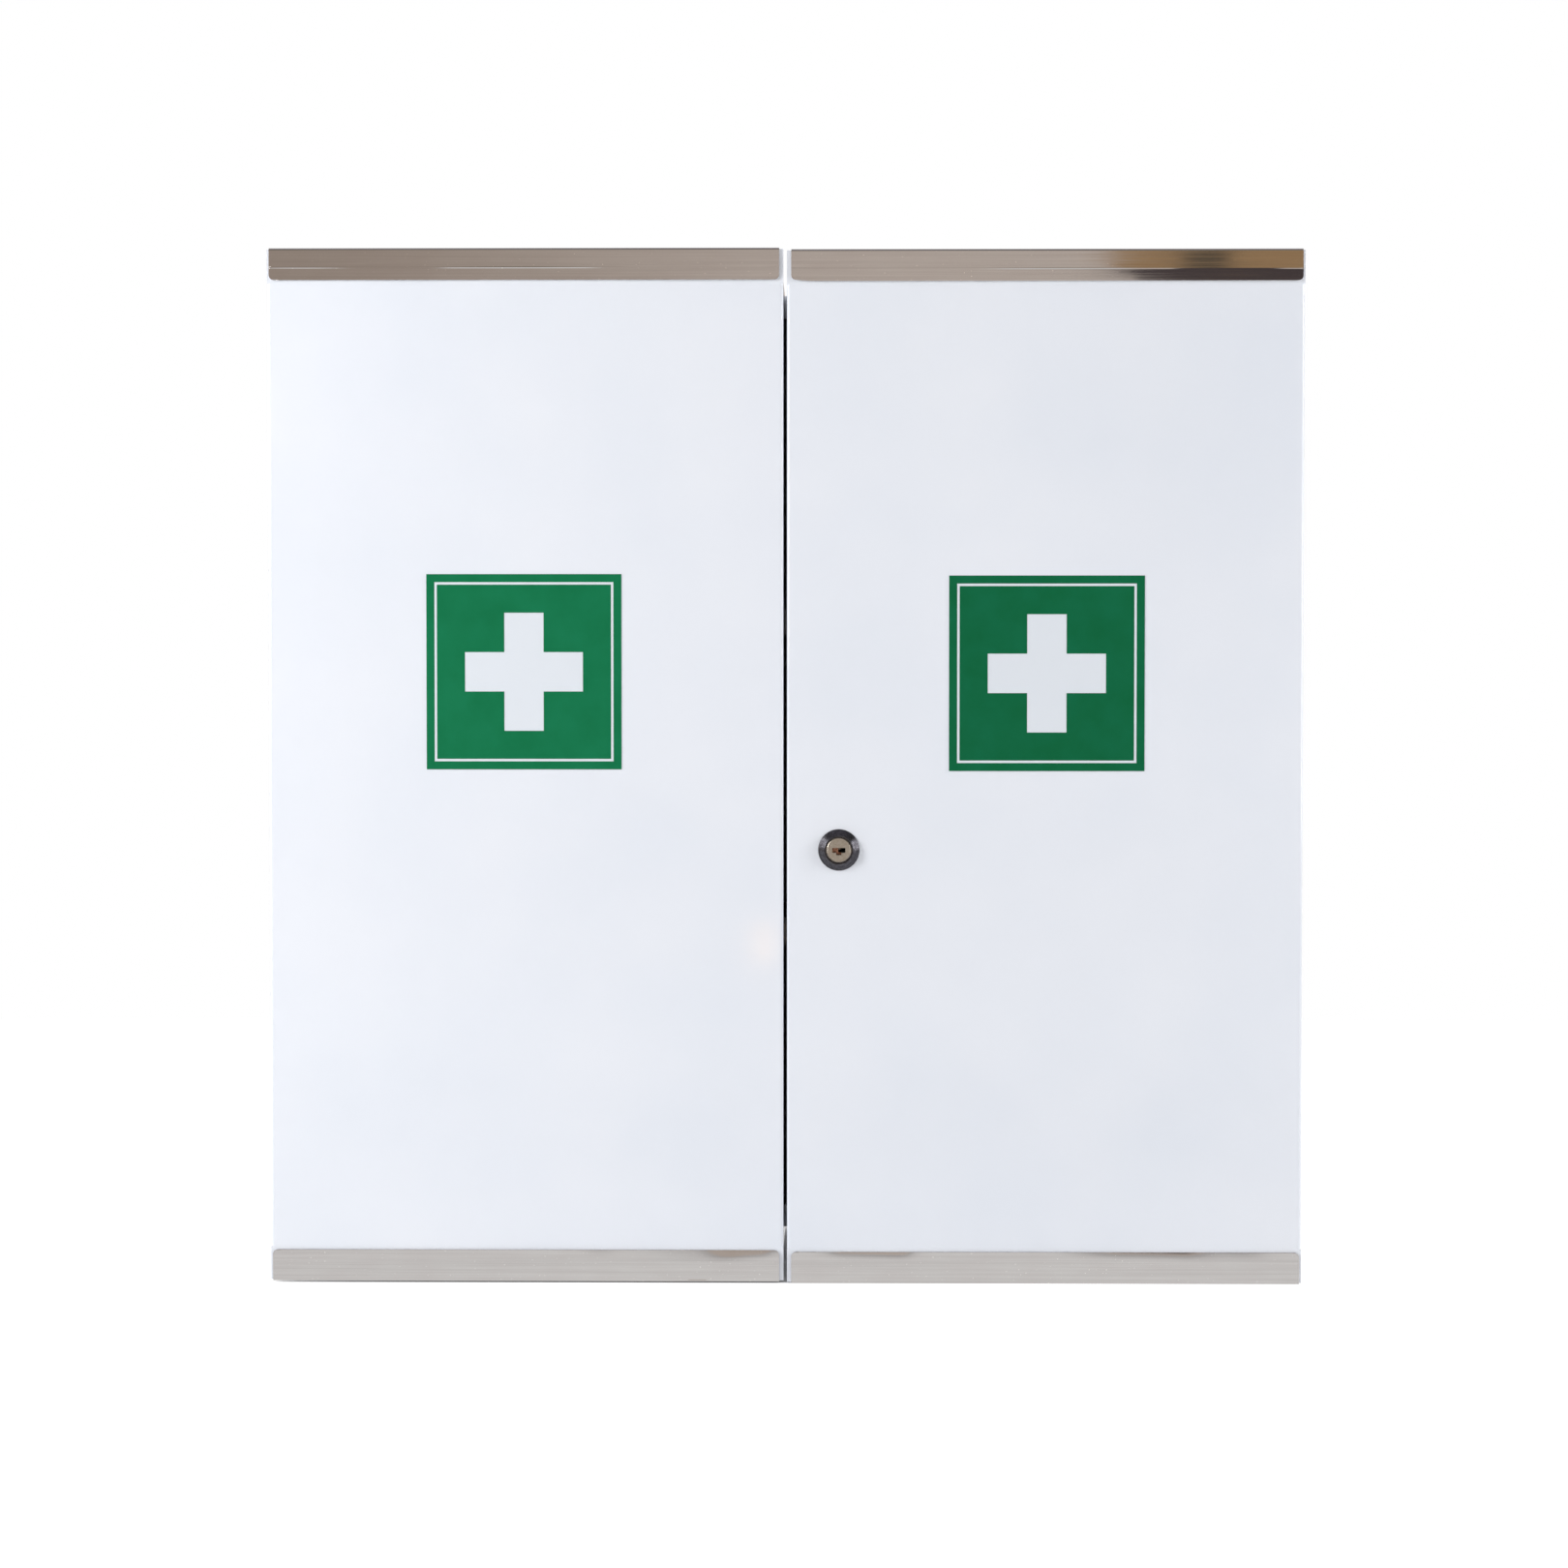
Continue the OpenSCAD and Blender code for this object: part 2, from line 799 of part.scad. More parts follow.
module cam_screw() {
    y = y_cam + cam_t;
    head_t = 2.4;
    color(ZINC)
        at_lock()
            difference() {
                union() {
                    bar_y(screw_r, [y_cam - 4, y]);
                    bar_y(screw_head_r, [y, y + head_t]);
                }
                slab([-3, 3], [y + head_t / 2, y + head_t + 1], [-0.5, 0.5]);
                slab([-0.5, 0.5], [y + head_t / 2, y + head_t + 1], [-3, 3]);
            }
}

// Slide bolt on the left door
module bolt_guide() {
    x = [x_meet + sheet_t, lock_x + bolt_w / 2 + 5];
    y = [y_guide, y_guide + sheet_t];
    slot = [knob_z - bolt_travel - knob_stem_r - slide_gap, knob_z + knob_stem_r + slide_gap];
    color(ZINC)
        on_side("left") {
            difference() {
                slab(x, y, [guide_low, guide_high]);
                slab([lock_x - knob_stem_r - slide_gap, lock_x + knob_stem_r + slide_gap],
                     [y[0] - 1, y[1] + 1], slot);
            }
            slab([x[0], x[0] + sheet_t], [y[1] - guide_wall_d, y[1]], [guide_low, guide_high]);
            for (z = [guide_low, loop_top])
                bolt_loop([z, z + loop_h]);
        }
}

module bolt_loop(z) {
    inner = bolt_w / 2 + slide_gap;
    y_in = y_cam - slide_gap;
    difference() {
        slab([lock_x - inner - sheet_t, lock_x + inner + sheet_t], [y_in - sheet_t, y_guide], z);
        slab([lock_x - inner, lock_x + inner], [y_in, y_guide + 1], [z[0] - 1, z[1] + 1]);
    }
}

module slide_bolt() {
    color(ZINC)
        on_side("left") {
            slab([lock_x - bolt_w / 2, lock_x + bolt_w / 2], [y_cam, y_cam + bolt_t],
                 [bolt_low, bolt_low + bolt_l]);
            translate([lock_x, 0, knob_z])
                bar_y(knob_stem_r, [y_cam + bolt_t, y_guide + sheet_t + slide_gap]);
        }
}

module bolt_knob() {
    y = y_guide + sheet_t + slide_gap;
    color(BLACK)
        on_side("left")
            translate([lock_x, y + knob_t, knob_z])
                rotate([90, 0, 0])
                    rotate_extrude()
                        polygon([[0, 0], [knob_r - 1, 0], [knob_r, 1], [knob_r, knob_t - 2],
                                 [knob_r * 0.7, knob_t], [0, knob_t]]);
}

carcase_shell();
back_panel();
upper_shelf();
lower_shelf();
shelf_rivets();
right_keeper();
left_keeper();
keeper_rivets();
catch_cases();
catch_magnets();
door_buffers();
left_door_skin();
right_door_skin();
bolt_guide();
slide_bolt();
bolt_knob();
lock_rosette();
lock_body();
lock_nut();
lock_plug();
lock_wafers();
lock_cam();
cam_screw();
for (side = ["left", "right"]) {
    door_top(side);
    door_bottom(side);
    door_rails(side);
    top_grip(side);
    bottom_grip(side);
    sign_film(side);
    sign_print(side);
    for (i = [1 : door_bays - 1])
        door_shelf(side, i);
    for (end = HINGE_ENDS) {
        frame_leaf(side, end);
        door_leaf(side, end);
        hinge_pin(side, end);
    }
}
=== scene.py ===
"""Looks of a lockable medicine cabinet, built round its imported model.

The frame is in metres: X runs to the right, Y into the wall and Z up. Sizes in the classes
are real millimetres, which mm() turns to metres.
"""

import logging
import math
from dataclasses import dataclass
from enum import Enum
from typing import Any, Callable, ClassVar, Iterable, Sequence

import bmesh
import bpy
from mathutils import Matrix, Vector, noise

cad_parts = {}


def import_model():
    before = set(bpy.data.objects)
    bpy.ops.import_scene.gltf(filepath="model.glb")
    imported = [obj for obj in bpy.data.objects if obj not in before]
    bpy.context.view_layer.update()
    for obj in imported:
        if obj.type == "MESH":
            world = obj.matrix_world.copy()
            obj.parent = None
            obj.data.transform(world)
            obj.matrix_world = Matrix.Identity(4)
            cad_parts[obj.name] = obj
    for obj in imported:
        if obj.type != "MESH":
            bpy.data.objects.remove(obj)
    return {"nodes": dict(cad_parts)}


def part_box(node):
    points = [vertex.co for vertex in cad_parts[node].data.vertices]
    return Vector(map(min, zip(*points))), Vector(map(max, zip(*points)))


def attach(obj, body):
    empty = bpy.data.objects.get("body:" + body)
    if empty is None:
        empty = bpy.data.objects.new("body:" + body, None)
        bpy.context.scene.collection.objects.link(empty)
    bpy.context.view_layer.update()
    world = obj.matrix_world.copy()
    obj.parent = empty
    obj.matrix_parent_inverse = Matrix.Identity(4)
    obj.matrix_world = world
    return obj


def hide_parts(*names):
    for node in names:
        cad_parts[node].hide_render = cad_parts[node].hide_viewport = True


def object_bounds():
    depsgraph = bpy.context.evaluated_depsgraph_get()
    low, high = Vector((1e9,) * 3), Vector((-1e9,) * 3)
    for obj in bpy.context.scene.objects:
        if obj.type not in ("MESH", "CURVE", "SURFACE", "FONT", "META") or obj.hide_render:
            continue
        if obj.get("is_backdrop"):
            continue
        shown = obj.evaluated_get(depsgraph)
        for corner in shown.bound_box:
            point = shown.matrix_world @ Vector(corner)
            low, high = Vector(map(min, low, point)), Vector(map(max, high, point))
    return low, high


LOG = logging.getLogger("cabinet")
Point = tuple[float, float]
Colour = tuple[float, float, float, float]


class Body(Enum):
    """What moves on its own."""

    CARCASE = "carcase"
    LEFT_DOOR = "left_door"
    RIGHT_DOOR = "right_door"
    BOLT = "door_bolt"
    LOCK = "lock_core"


class Slot(Enum):
    """Material slots that the finishes belong to."""

    PAINT = "painted_steel"
    STAINLESS = "stainless_steel"
    ZINC = "zinc_plated_steel"
    FILM = "white_film"
    PRINT = "green_print"
    ZAMAK = "charcoal_zamak"
    NICKEL = "nickel_plate"
    BRASS = "wafer_brass"
    RUBBER = "buffer_rubber"
    KNOB = "knob_plastic"
    CATCH = "catch_plastic"
    MAGNET = "magnet_plate"


class Side(Enum):
    """A side of the cabinet, with the sign of its X."""

    LEFT = -1
    RIGHT = 1

    @property
    def word(self) -> str:
        """The side as the nodes' names write it."""
        return self.name.lower()

    @property
    def door(self) -> Body:
        """The door on this side."""
        return Body.LEFT_DOOR if self is Side.LEFT else Body.RIGHT_DOOR


class End(Enum):
    """An end of the cabinet, with the sign of its Z."""

    BOTTOM = -1
    TOP = 1


def mm(value: float) -> float:
    """Turns millimetres to metres."""
    return value / 1000.0


def linear(hex_code: str) -> Colour:
    """Turns an sRGB hex colour to linear light.

    Args:
        hex_code: A colour such as "#EAEDF3".

    Returns:
        Red, green, blue and an alpha of 1.
    """
    parts = [int(hex_code[i:i + 2], 16) / 255.0 for i in (1, 3, 5)]
    red, green, blue = (p / 12.92 if p <= 0.04045 else ((p + 0.055) / 1.055) ** 2.4 for p in parts)
    return red, green, blue, 1.0


def add_node(tree: bpy.types.NodeTree, kind: str, inputs: dict[Any, Any] | None = None,
             **settings: Any) -> bpy.types.Node:
    """Adds a node with its settings and links.

    Args:
        tree: The tree that gets the node.
        kind: The node's type.
        inputs: A value, a hex colour or another node's socket for each input, by name or number.
        **settings: Properties of the node itself.

    Returns:
        The new node.
    """
    node = tree.nodes.new(kind)
    for name, value in settings.items():
        setattr(node, name, value)
    for name, value in (inputs or {}).items():
        if isinstance(value, bpy.types.NodeSocket):
            tree.links.new(value, node.inputs[name])
        else:
            node.inputs[name].default_value = linear(value) if isinstance(value, str) else value
    return node


def speckle(tree: bpy.types.NodeTree, size: Sequence[float], low: float = 0.0, high: float = 1.0,
            detail: float = 2.0, spread: Point = (0.3, 0.7), seed: float = 0.0) -> bpy.types.NodeSocket:
    """Draws a noise pattern of a real size.

    Args:
        tree: The tree that gets the pattern.
        size: Size of a feature along X, Y and Z, in millimetres.
        low: Value where the pattern is at its lowest.
        high: Value where it is at its highest.
        detail: How many finer octaves lie over the first.
        spread: Raw noise values that become low and high.
        seed: Shifts the pattern, so that two patterns differ.

    Returns:
        The socket that carries the value.
    """
    place = add_node(tree, "ShaderNodeTexCoord")
    scaled = add_node(tree, "ShaderNodeMapping", {
        "Vector": place.outputs["Object"],
        "Location": (seed, seed * 1.7, seed * 2.3),
        "Scale": tuple(1.0 / mm(s) for s in size),
    })
    raw = add_node(tree, "ShaderNodeTexNoise", {
        "Vector": scaled.outputs["Vector"], "Scale": 1.0, "Detail": detail,
    })
    ranged = add_node(tree, "ShaderNodeMapRange", {
        "Value": raw.outputs["Fac"], "From Min": spread[0], "From Max": spread[1],
        "To Min": low, "To Max": high,
    })
    return ranged.outputs["Result"]


def mottled(tree: bpy.types.NodeTree, size: Sequence[float], first: Any, second: Any,
            **pattern: Any) -> bpy.types.NodeSocket:
    """Lays two tones over each other in a noise pattern of a real size.

    Args:
        tree: The tree that gets the tones.
        size: Size of a feature along X, Y and Z, in millimetres.
        first: A hex colour or a socket, where the pattern is 0.
        second: A hex colour or a socket, where it is 1.
        **pattern: What else speckle() takes.

    Returns:
        The socket that carries the colour.
    """
    share = speckle(tree, size, **pattern)
    return add_node(tree, "ShaderNodeMix", {0: share, 6: first, 7: second}, data_type="RGBA").outputs[2]


def grained(tree: bpy.types.NodeTree, size: Sequence[float], depth: float,
            **pattern: Any) -> bpy.types.NodeSocket:
    """Raises a noise pattern of a real size to small relief.

    Args:
        tree: The tree that gets the relief.
        size: Size of a feature along X, Y and Z, in millimetres.
        depth: Height of the relief in millimetres.
        **pattern: What else speckle() takes.

    Returns:
        The socket that carries the normal.
    """
    height = speckle(tree, size, **pattern)
    return add_node(tree, "ShaderNodeBump", {"Height": height, "Distance": mm(depth)}).outputs[0]


@dataclass(frozen=True)
class Finish:
    """A surface: what it is made of and how it was made.

    Its features have their real sizes in millimetres. A pair is the lowest and highest value
    of a pattern.
    """

    slot: ClassVar[Slot]
    name: str

    def material(self) -> bpy.types.Material:
        """Returns the Blender material, which is made once and then shared."""
        made = bpy.data.materials.get(self.name)
        if made is None:
            made = bpy.data.materials.new(self.name)
            made.use_nodes = True
            tree = made.node_tree
            tree.nodes.clear()
            shader = add_node(tree, "ShaderNodeBsdfPrincipled", self.surface(tree))
            add_node(tree, "ShaderNodeOutputMaterial", {"Surface": shader.outputs["BSDF"]})
        return made

    def surface(self, tree: bpy.types.NodeTree) -> dict[str, Any]:
        """Gives the shader's inputs, as numbers, hex colours or sockets of patterns in the tree."""
        raise NotImplementedError


@dataclass(frozen=True)
class GlossPowderCoat(Finish):
    """Polyester powder coat, sprayed on steel and baked.

    It gives the eye an even cool white with a soft gloss, whose reflections ripple in a
    faint orange peel, and a hardly visible cloudiness where the coat is thicker.
    """

    slot = Slot.PAINT
    name: str = "gloss_powder_coat"
    colour: str = "#E6E9F0"
    thin_colour: str = "#E2E6EE"
    cloud: float = 70.0
    peel: float = 2.4
    peel_depth: float = 0.004
    roughness: Point = (0.09, 0.13)

    def surface(self, tree: bpy.types.NodeTree) -> dict[str, Any]:
        """Gives the coat's colour, gloss and orange peel."""
        return {
            "Base Color": mottled(tree, (self.cloud,) * 3, self.colour, self.thin_colour),
            "Roughness": speckle(tree, (self.cloud / 2,) * 3, *self.roughness, seed=3.0),
            "IOR": 1.5,
            "Normal": grained(tree, (self.peel,) * 3, self.peel_depth, detail=1.0),
        }


@dataclass(frozen=True)
class RolledStainless(Finish):
    """Bright annealed 304 stainless sheet, with the faint rolling lines along its length.

    It gives the eye a soft mirror that draws the room's light and dark into long level
    patches, with thin streaks, a few specks and cloudy marks from handling. The lines are
    about 0.1 mm apart, and are drawn coarser here so that they show.
    """

    slot = Slot.STAINLESS
    name: str = "bright_rolled_stainless"
    colour: str = "#CBC8C6"
    dark_colour: str = "#BEBBB9"
    mark_colour: str = "#B8B0AE"
    speck_colour: str = "#DEDAD6"
    line: float = 0.35
    line_depth: float = 0.0004
    line_spread: Point = (0.25, 0.75)
    band: float = 1.6
    stroke: float = 60.0
    speck: float = 0.9
    speck_spread: Point = (0.79, 0.83)
    mark: float = 22.0
    mark_share: float = 0.25
    roughness: Point = (0.03, 0.08)

    def surface(self, tree: bpy.types.NodeTree) -> dict[str, Any]:
        """Gives the streaks, specks and handling marks."""
        rolled = (self.stroke, self.line, self.line)
        lines = speckle(tree, rolled, high=0.5, spread=self.line_spread)
        bands = speckle(tree, (3 * self.stroke, self.band, self.band), high=0.5, seed=5.0)
        streaks = add_node(tree, "ShaderNodeMath", {0: lines, 1: bands}, operation="ADD")
        streaked = add_node(tree, "ShaderNodeMix", {
            0: streaks.outputs[0], 6: self.dark_colour, 7: self.colour}, data_type="RGBA")
        handled = mottled(tree, (self.mark, self.mark / 3, self.mark / 3), streaked.outputs[2],
                          self.mark_colour, high=self.mark_share, detail=4.0, seed=9.0)
        across = add_node(tree, "ShaderNodeTangent", direction_type="RADIAL", axis="X")
        return {
            "Base Color": mottled(tree, (self.speck,) * 3, handled, self.speck_colour,
                                  spread=self.speck_spread, detail=0.0, seed=2.0),
            "Metallic": 1.0,
            "Roughness": speckle(tree, rolled, *self.roughness, seed=7.0),
            "Anisotropic": 0.5,
            "Tangent": across.outputs[0],
            "Normal": grained(tree, rolled, self.line_depth, spread=self.line_spread),
        }


@dataclass(frozen=True)
class BrightZincPlate(Finish):
    """Steel with bright zinc plate and a clear passivation.

    It gives the eye a pale cool metal with soft spangled patches, and a trace of blue and
    yellow where the passivation is thicker.
    """

    slot = Slot.ZINC
    name: str = "bright_zinc_plate"
    colour: str = "#C6C7C6"
    blue_trace: str = "#BCC2C9"
    yellow_trace: str = "#CAC5B8"
    patch: float = 14.0
    blue_share: float = 0.7
    yellow_share: float = 0.6
    yellow_spread: Point = (0.5, 0.75)
    grain: float = 0.7
    grain_depth: float = 0.004
    roughness: Point = (0.24, 0.4)

    def surface(self, tree: bpy.types.NodeTree) -> dict[str, Any]:
        """Gives the plate's tints and its fine grain."""
        cool = mottled(tree, (self.patch,) * 3, self.colour, self.blue_trace, high=self.blue_share,
                       detail=3.0)
        return {
            "Base Color": mottled(tree, (self.patch * 1.6,) * 3, cool, self.yellow_trace,
                                  high=self.yellow_share, spread=self.yellow_spread, seed=4.0),
            "Metallic": 1.0,
            "Roughness": speckle(tree, (self.patch / 2,) * 3, *self.roughness, seed=6.0),
            "Normal": grained(tree, (self.grain,) * 3, self.grain_depth, detail=3.0),
        }


@dataclass(frozen=True)
class CalenderedVinyl(Finish):
    """White calendered PVC sign film.

    It gives the eye a clean white, a little warmer and duller than the paint round it.
    """

    slot = Slot.FILM
    name: str = "white_vinyl_film"
    colour: str = "#DCE1E8"
    grain: float = 1.2
    grain_depth: float = 0.002
    roughness: Point = (0.28, 0.36)

    def surface(self, tree: bpy.types.NodeTree) -> dict[str, Any]:
        """Gives the film's white and its faint calender grain."""
        return {
            "Base Color": self.colour,
            "Roughness": speckle(tree, (self.grain * 12,) * 3, *self.roughness),
            "IOR": 1.53,
            "Normal": grained(tree, (self.grain,) * 3, self.grain_depth),
        }


@dataclass(frozen=True)
class ScreenPrintInk(Finish):
    """Green solvent ink, screen printed on the film.

    It gives the eye a deep bluish green that is even from afar, with the fine mottle that
    the mesh leaves and a low gloss.
    """

    slot = Slot.PRINT
    name: str = "green_screen_print"
    colour: str = "#0A6D43"
    thin_colour: str = "#10734A"
    gloss: float = 0.1
    mesh: float = 0.8
    mesh_depth: float = 0.003
    mottle: float = 14.0
    roughness: Point = (0.5, 0.6)

    def surface(self, tree: bpy.types.NodeTree) -> dict[str, Any]:
        """Gives the ink's mottle and its low gloss."""
        return {
            "Base Color": mottled(tree, (self.mottle,) * 3, self.colour, self.thin_colour, detail=3.0),
            "Roughness": speckle(tree, (self.mottle,) * 3, *self.roughness, seed=8.0),
            "IOR": 1.5,
            "Specular IOR Level": self.gloss,
            "Normal": grained(tree, (self.mesh,) * 3, self.mesh_depth, detail=1.0, seed=2.0),
        }


@dataclass(frozen=True)
class TurnedZamak(Finish):
    """Zinc die casting, turned on its cone and coated in dark chrome.

    It gives the eye a charcoal ring with fine round tool lines, on which the light falls
    in paler sectors left and right.
    """

    slot = Slot.ZAMAK
    name: str = "charcoal_turned_zamak"
    colour: str = "#424146"
    worn_colour: str = "#6A696F"
    wear: float = 1.4
    turn: float = 30.0
    tool_line: float = 0.5
    line_depth: float = 0.02
    line_spread: Point = (0.35, 0.65)
    cloud: float = 1.0
    roughness: Point = (0.24, 0.34)

    def surface(self, tree: bpy.types.NodeTree) -> dict[str, Any]:
        """Gives the tool lines and the radial highlight."""
        worn = mottled(tree, (self.wear,) * 3, self.colour, self.worn_colour, detail=4.0)
        turned = (self.turn, self.tool_line, self.turn)
        tangent = add_node(tree, "ShaderNodeTangent", direction_type="RADIAL", axis="Y")
        return {
            "Base Color": mottled(tree, turned, self.colour, worn, spread=self.line_spread, detail=3.0),
            "Metallic": 1.0,
            "Roughness": speckle(tree, (self.cloud,) * 3, *self.roughness, seed=3.0),
            "Anisotropic": 0.75,
            "Anisotropic Rotation": 0.25,
            "Tangent": tangent.outputs[0],
            "Normal": grained(tree, turned, self.line_depth, spread=self.line_spread, detail=3.0),
        }


@dataclass(frozen=True)
class SatinNickelPlate(Finish):
    """Brass with satin nickel plate, a little worn by keys.

    It gives the eye a warm pale grey with fine pits and scratches.
    """

    slot = Slot.NICKEL
    name: str = "satin_nickel_plate"
    colour: str = "#B6AFA6"
    worn_colour: str = "#A79E90"
    pit: float = 0.3
    pit_depth: float = 0.003
    roughness: Point = (0.26, 0.4)

    def surface(self, tree: bpy.types.NodeTree) -> dict[str, Any]:
        """Gives the pits and the worn tone."""
        return {
            "Base Color": mottled(tree, (self.pit * 3,) * 3, self.colour, self.worn_colour, detail=4.0),
            "Metallic": 1.0,
            "Roughness": speckle(tree, (self.pit * 2,) * 3, *self.roughness, seed=1.0),
            "Normal": grained(tree, (self.pit,) * 3, self.pit_depth, detail=3.0, seed=5.0),
        }


@dataclass(frozen=True)
class StampedBrass(Finish):
    """Brass sheet, stamped to wafers and tarnished by handling.

    It gives the eye the coppery gleam inside the key slot.
    """

    slot = Slot.BRASS
    name: str = "stamped_brass"
    colour: str = "#B58A74"
    tarnish: str = "#6E4A3A"
    spot: float = 0.8

    def surface(self, tree: bpy.types.NodeTree) -> dict[str, Any]:
        """Gives the tarnish."""
        return {
            "Base Color": mottled(tree, (self.spot,) * 3, self.colour, self.tarnish, detail=3.0),
            "Metallic": 1.0,
            "Roughness": 0.35,
        }


@dataclass(frozen=True)
class MouldedNylon(Finish):
    """Glass-filled nylon, injection moulded.

    It gives the eye a dull fine-grained plastic whose highlight is broad.
    """

    slot = Slot.KNOB
    name: str = "moulded_black_nylon"
    colour: str = "#232427"
    pale: str = "#2E2F33"
    grain: float = 0.6
    grain_depth: float = 0.012
    roughness: Point = (0.42, 0.52)

    def surface(self, tree: bpy.types.NodeTree) -> dict[str, Any]:
        """Gives the moulded grain."""
        fibre = (self.grain * 6, self.grain * 2, self.grain * 2)
        return {
            "Base Color": mottled(tree, fibre, self.colour, self.pale, detail=3.0),
            "Roughness": speckle(tree, (self.grain * 4,) * 3, *self.roughness, seed=4.0),
            "IOR": 1.53,
            "Normal": grained(tree, (self.grain,) * 3, self.grain_depth, seed=2.0),
        }


@dataclass(frozen=True)
class MouldedAcetal(MouldedNylon):
    """White acetal, injection moulded.

    It gives the eye a waxy off-white with a soft highlight.
    """

    slot = Slot.CATCH
    name: str = "moulded_white_acetal"
    colour: str = "#DEDEDA"
    pale: str = "#E6E6E2"


@dataclass(frozen=True)
class MouldedRubber(MouldedNylon):
    """Black nitrile rubber, compression moulded.

    It gives the eye a matt near-black with dust in its grain.
    """

    slot = Slot.RUBBER
    name: str = "moulded_black_rubber"
    colour: str = "#1B1B1C"
    pale: str = "#29292A"


@dataclass(frozen=True)
class PolePlate(BrightZincPlate):
    """Mild steel pole plates and a ferrite block, ground flush.

    It gives the eye a plain grey metal with darker grain.
    """

    slot = Slot.MAGNET
    name: str = "ground_pole_plate"
    colour: str = "#8F8F90"
    blue_trace: str = "#76787C"
    yellow_trace: str = "#7D7974"
    patch: float = 4.0
    grain: float = 0.4


def rounded(corners: Sequence[Point], radii: Sequence[float], steps: int = 5) -> list[Point]:
    """Rounds the inner corners of an open path.

    Args:
        corners: The path's points, in millimetres.
        radii: The radius at each point between the ends.
        steps: Points along each arc, less one.

    Returns:
        The path with arcs.
    """
    path = [corners[0]]
    for before, corner, after, radius in zip(corners, corners[1:], corners[2:], radii):
        here = Vector(corner)
        back = (Vector(before) - here).normalized()
        ahead = (Vector(after) - here).normalized()
        half = back.angle(ahead) / 2
        centre = here + (back + ahead).normalized() * (radius / math.sin(half))
        start = here + back * (radius / math.tan(half)) - centre
        end = here + ahead * (radius / math.tan(half)) - centre
        turn = start.angle_signed(end)
        for step in range(steps + 1):
            spoke = start.copy()
            spoke.rotate(Matrix.Rotation(-turn * step / steps, 2))
            path.append(tuple(centre + spoke))
    path.append(corners[-1])
    return path


def to_mesh(name: str, work: bmesh.types.BMesh) -> bpy.types.Mesh:
    """Closes bmesh work into a mesh and frees it."""
    bmesh.ops.remove_doubles(work, verts=work.verts, dist=mm(0.001))
    bmesh.ops.recalc_face_normals(work, faces=work.faces)
    mesh = bpy.data.meshes.new(name)
    work.to_mesh(mesh)
    work.free()
    return mesh


def lathe(name: str, profile: Sequence[Point], segments: int = 64,
          radius_at: Callable[[float, float, float], float] | None = None) -> bpy.types.Mesh:
    """Turns a closed profile round Y.

    Args:
        name: Name of the mesh.
        profile: Radius and height out of the face at each point, in millimetres.
        segments: Steps round the turn.
        radius_at: Gives the radius for an angle, radius and height, where it isn't round.

    Returns:
        A mesh round the origin whose heights run along -Y.
    """
    work = bmesh.new()
    rings = []
    for radius, height in profile:
        ring = []
        for i in range(segments):
            angle = 2 * math.pi * i / segments
            r = radius_at(angle, radius, height) if radius_at else radius
            ring.append(work.verts.new((mm(r) * math.cos(angle), -mm(height), mm(r) * math.sin(angle))))
        rings.append(ring)
    for ring, other in zip(rings, rings[1:] + rings[:1]):
        for i in range(segments):
            j = (i + 1) % segments
            work.faces.new((ring[i], ring[j], other[j], other[i]))
    return to_mesh(name, work)


def plate(name: str, outlines: Iterable[Sequence[Point]], thickness: float,
          edge: float) -> bpy.types.Mesh:
    """Cuts a flat plate with softened edges.

    Args:
        name: Name of the mesh.
        outlines: The outer outline and the holes, as closed loops of X and Z in millimetres.
        thickness: Thickness in millimetres.
        edge: Radius of the softened edges.

    Returns:
        A mesh whose front face looks along -Y, with its middle plane at Y 0.
    """
    curve = bpy.data.curves.new(name, "CURVE")
    curve.dimensions = "2D"
    curve.fill_mode = "BOTH"
    curve.extrude = mm(thickness / 2 - edge)
    curve.bevel_depth = mm(edge)
    curve.bevel_resolution = 2
    curve.offset = -mm(edge)
    for outline in outlines:
        spline = curve.splines.new("POLY")
        spline.points.add(len(outline) - 1)
        for point, (x, z) in zip(spline.points, outline):
            point.co = (mm(x), mm(z), 0.0, 1.0)
        spline.use_cyclic_u = True
    carrier = bpy.data.objects.new(name, curve)
    mesh = bpy.data.meshes.new_from_object(carrier)
    bpy.data.objects.remove(carrier)
    bpy.data.curves.remove(curve)
    mesh.name = name
    mesh.transform(Matrix.Rotation(math.pi / 2, 4, "X"))
    return mesh


def circle(radius: float, centre: Point = (0.0, 0.0), steps: int = 48) -> list[Point]:
    """Gives a closed round outline."""
    turns = [2 * math.pi * i / steps for i in range(steps)]
    return [(centre[0] + radius * math.cos(a), centre[1] + radius * math.sin(a)) for a in turns]


def arc(start: float, end: float, steps: int) -> list[Point]:
    """Gives the cosine and sine at even steps from one angle to another, in radians."""
    turns = [start + (end - start) * i / steps for i in range(steps + 1)]
    return [(math.cos(a), math.sin(a)) for a in turns]


def block(width: float, height: float, radius: float = 0.0, centre: Point = (0.0, 0.0),
          steps: int = 5) -> list[Point]:
    """Gives a closed rectangle with round corners."""
    outline = []
    for turn, (sx, sz) in enumerate(((1, 1), (-1, 1), (-1, -1), (1, -1))):
        corner = (centre[0] + sx * (width / 2 - radius), centre[1] + sz * (height / 2 - radius))
        if radius == 0.0:
            outline.append(corner)
            continue
        for step in range(steps + 1):
            angle = math.pi / 2 * (turn + step / steps)
            outline.append((corner[0] + radius * math.cos(angle), corner[1] + radius * math.sin(angle)))
    return outline


def merged(name: str, meshes: Iterable[bpy.types.Mesh]) -> bpy.types.Mesh:
    """Joins meshes to one and removes the originals."""
    work = bmesh.new()
    for mesh in meshes:
        work.from_mesh(mesh)
        bpy.data.meshes.remove(mesh)
    made = bpy.data.meshes.new(name)
    work.to_mesh(made)
    work.free()
    return made


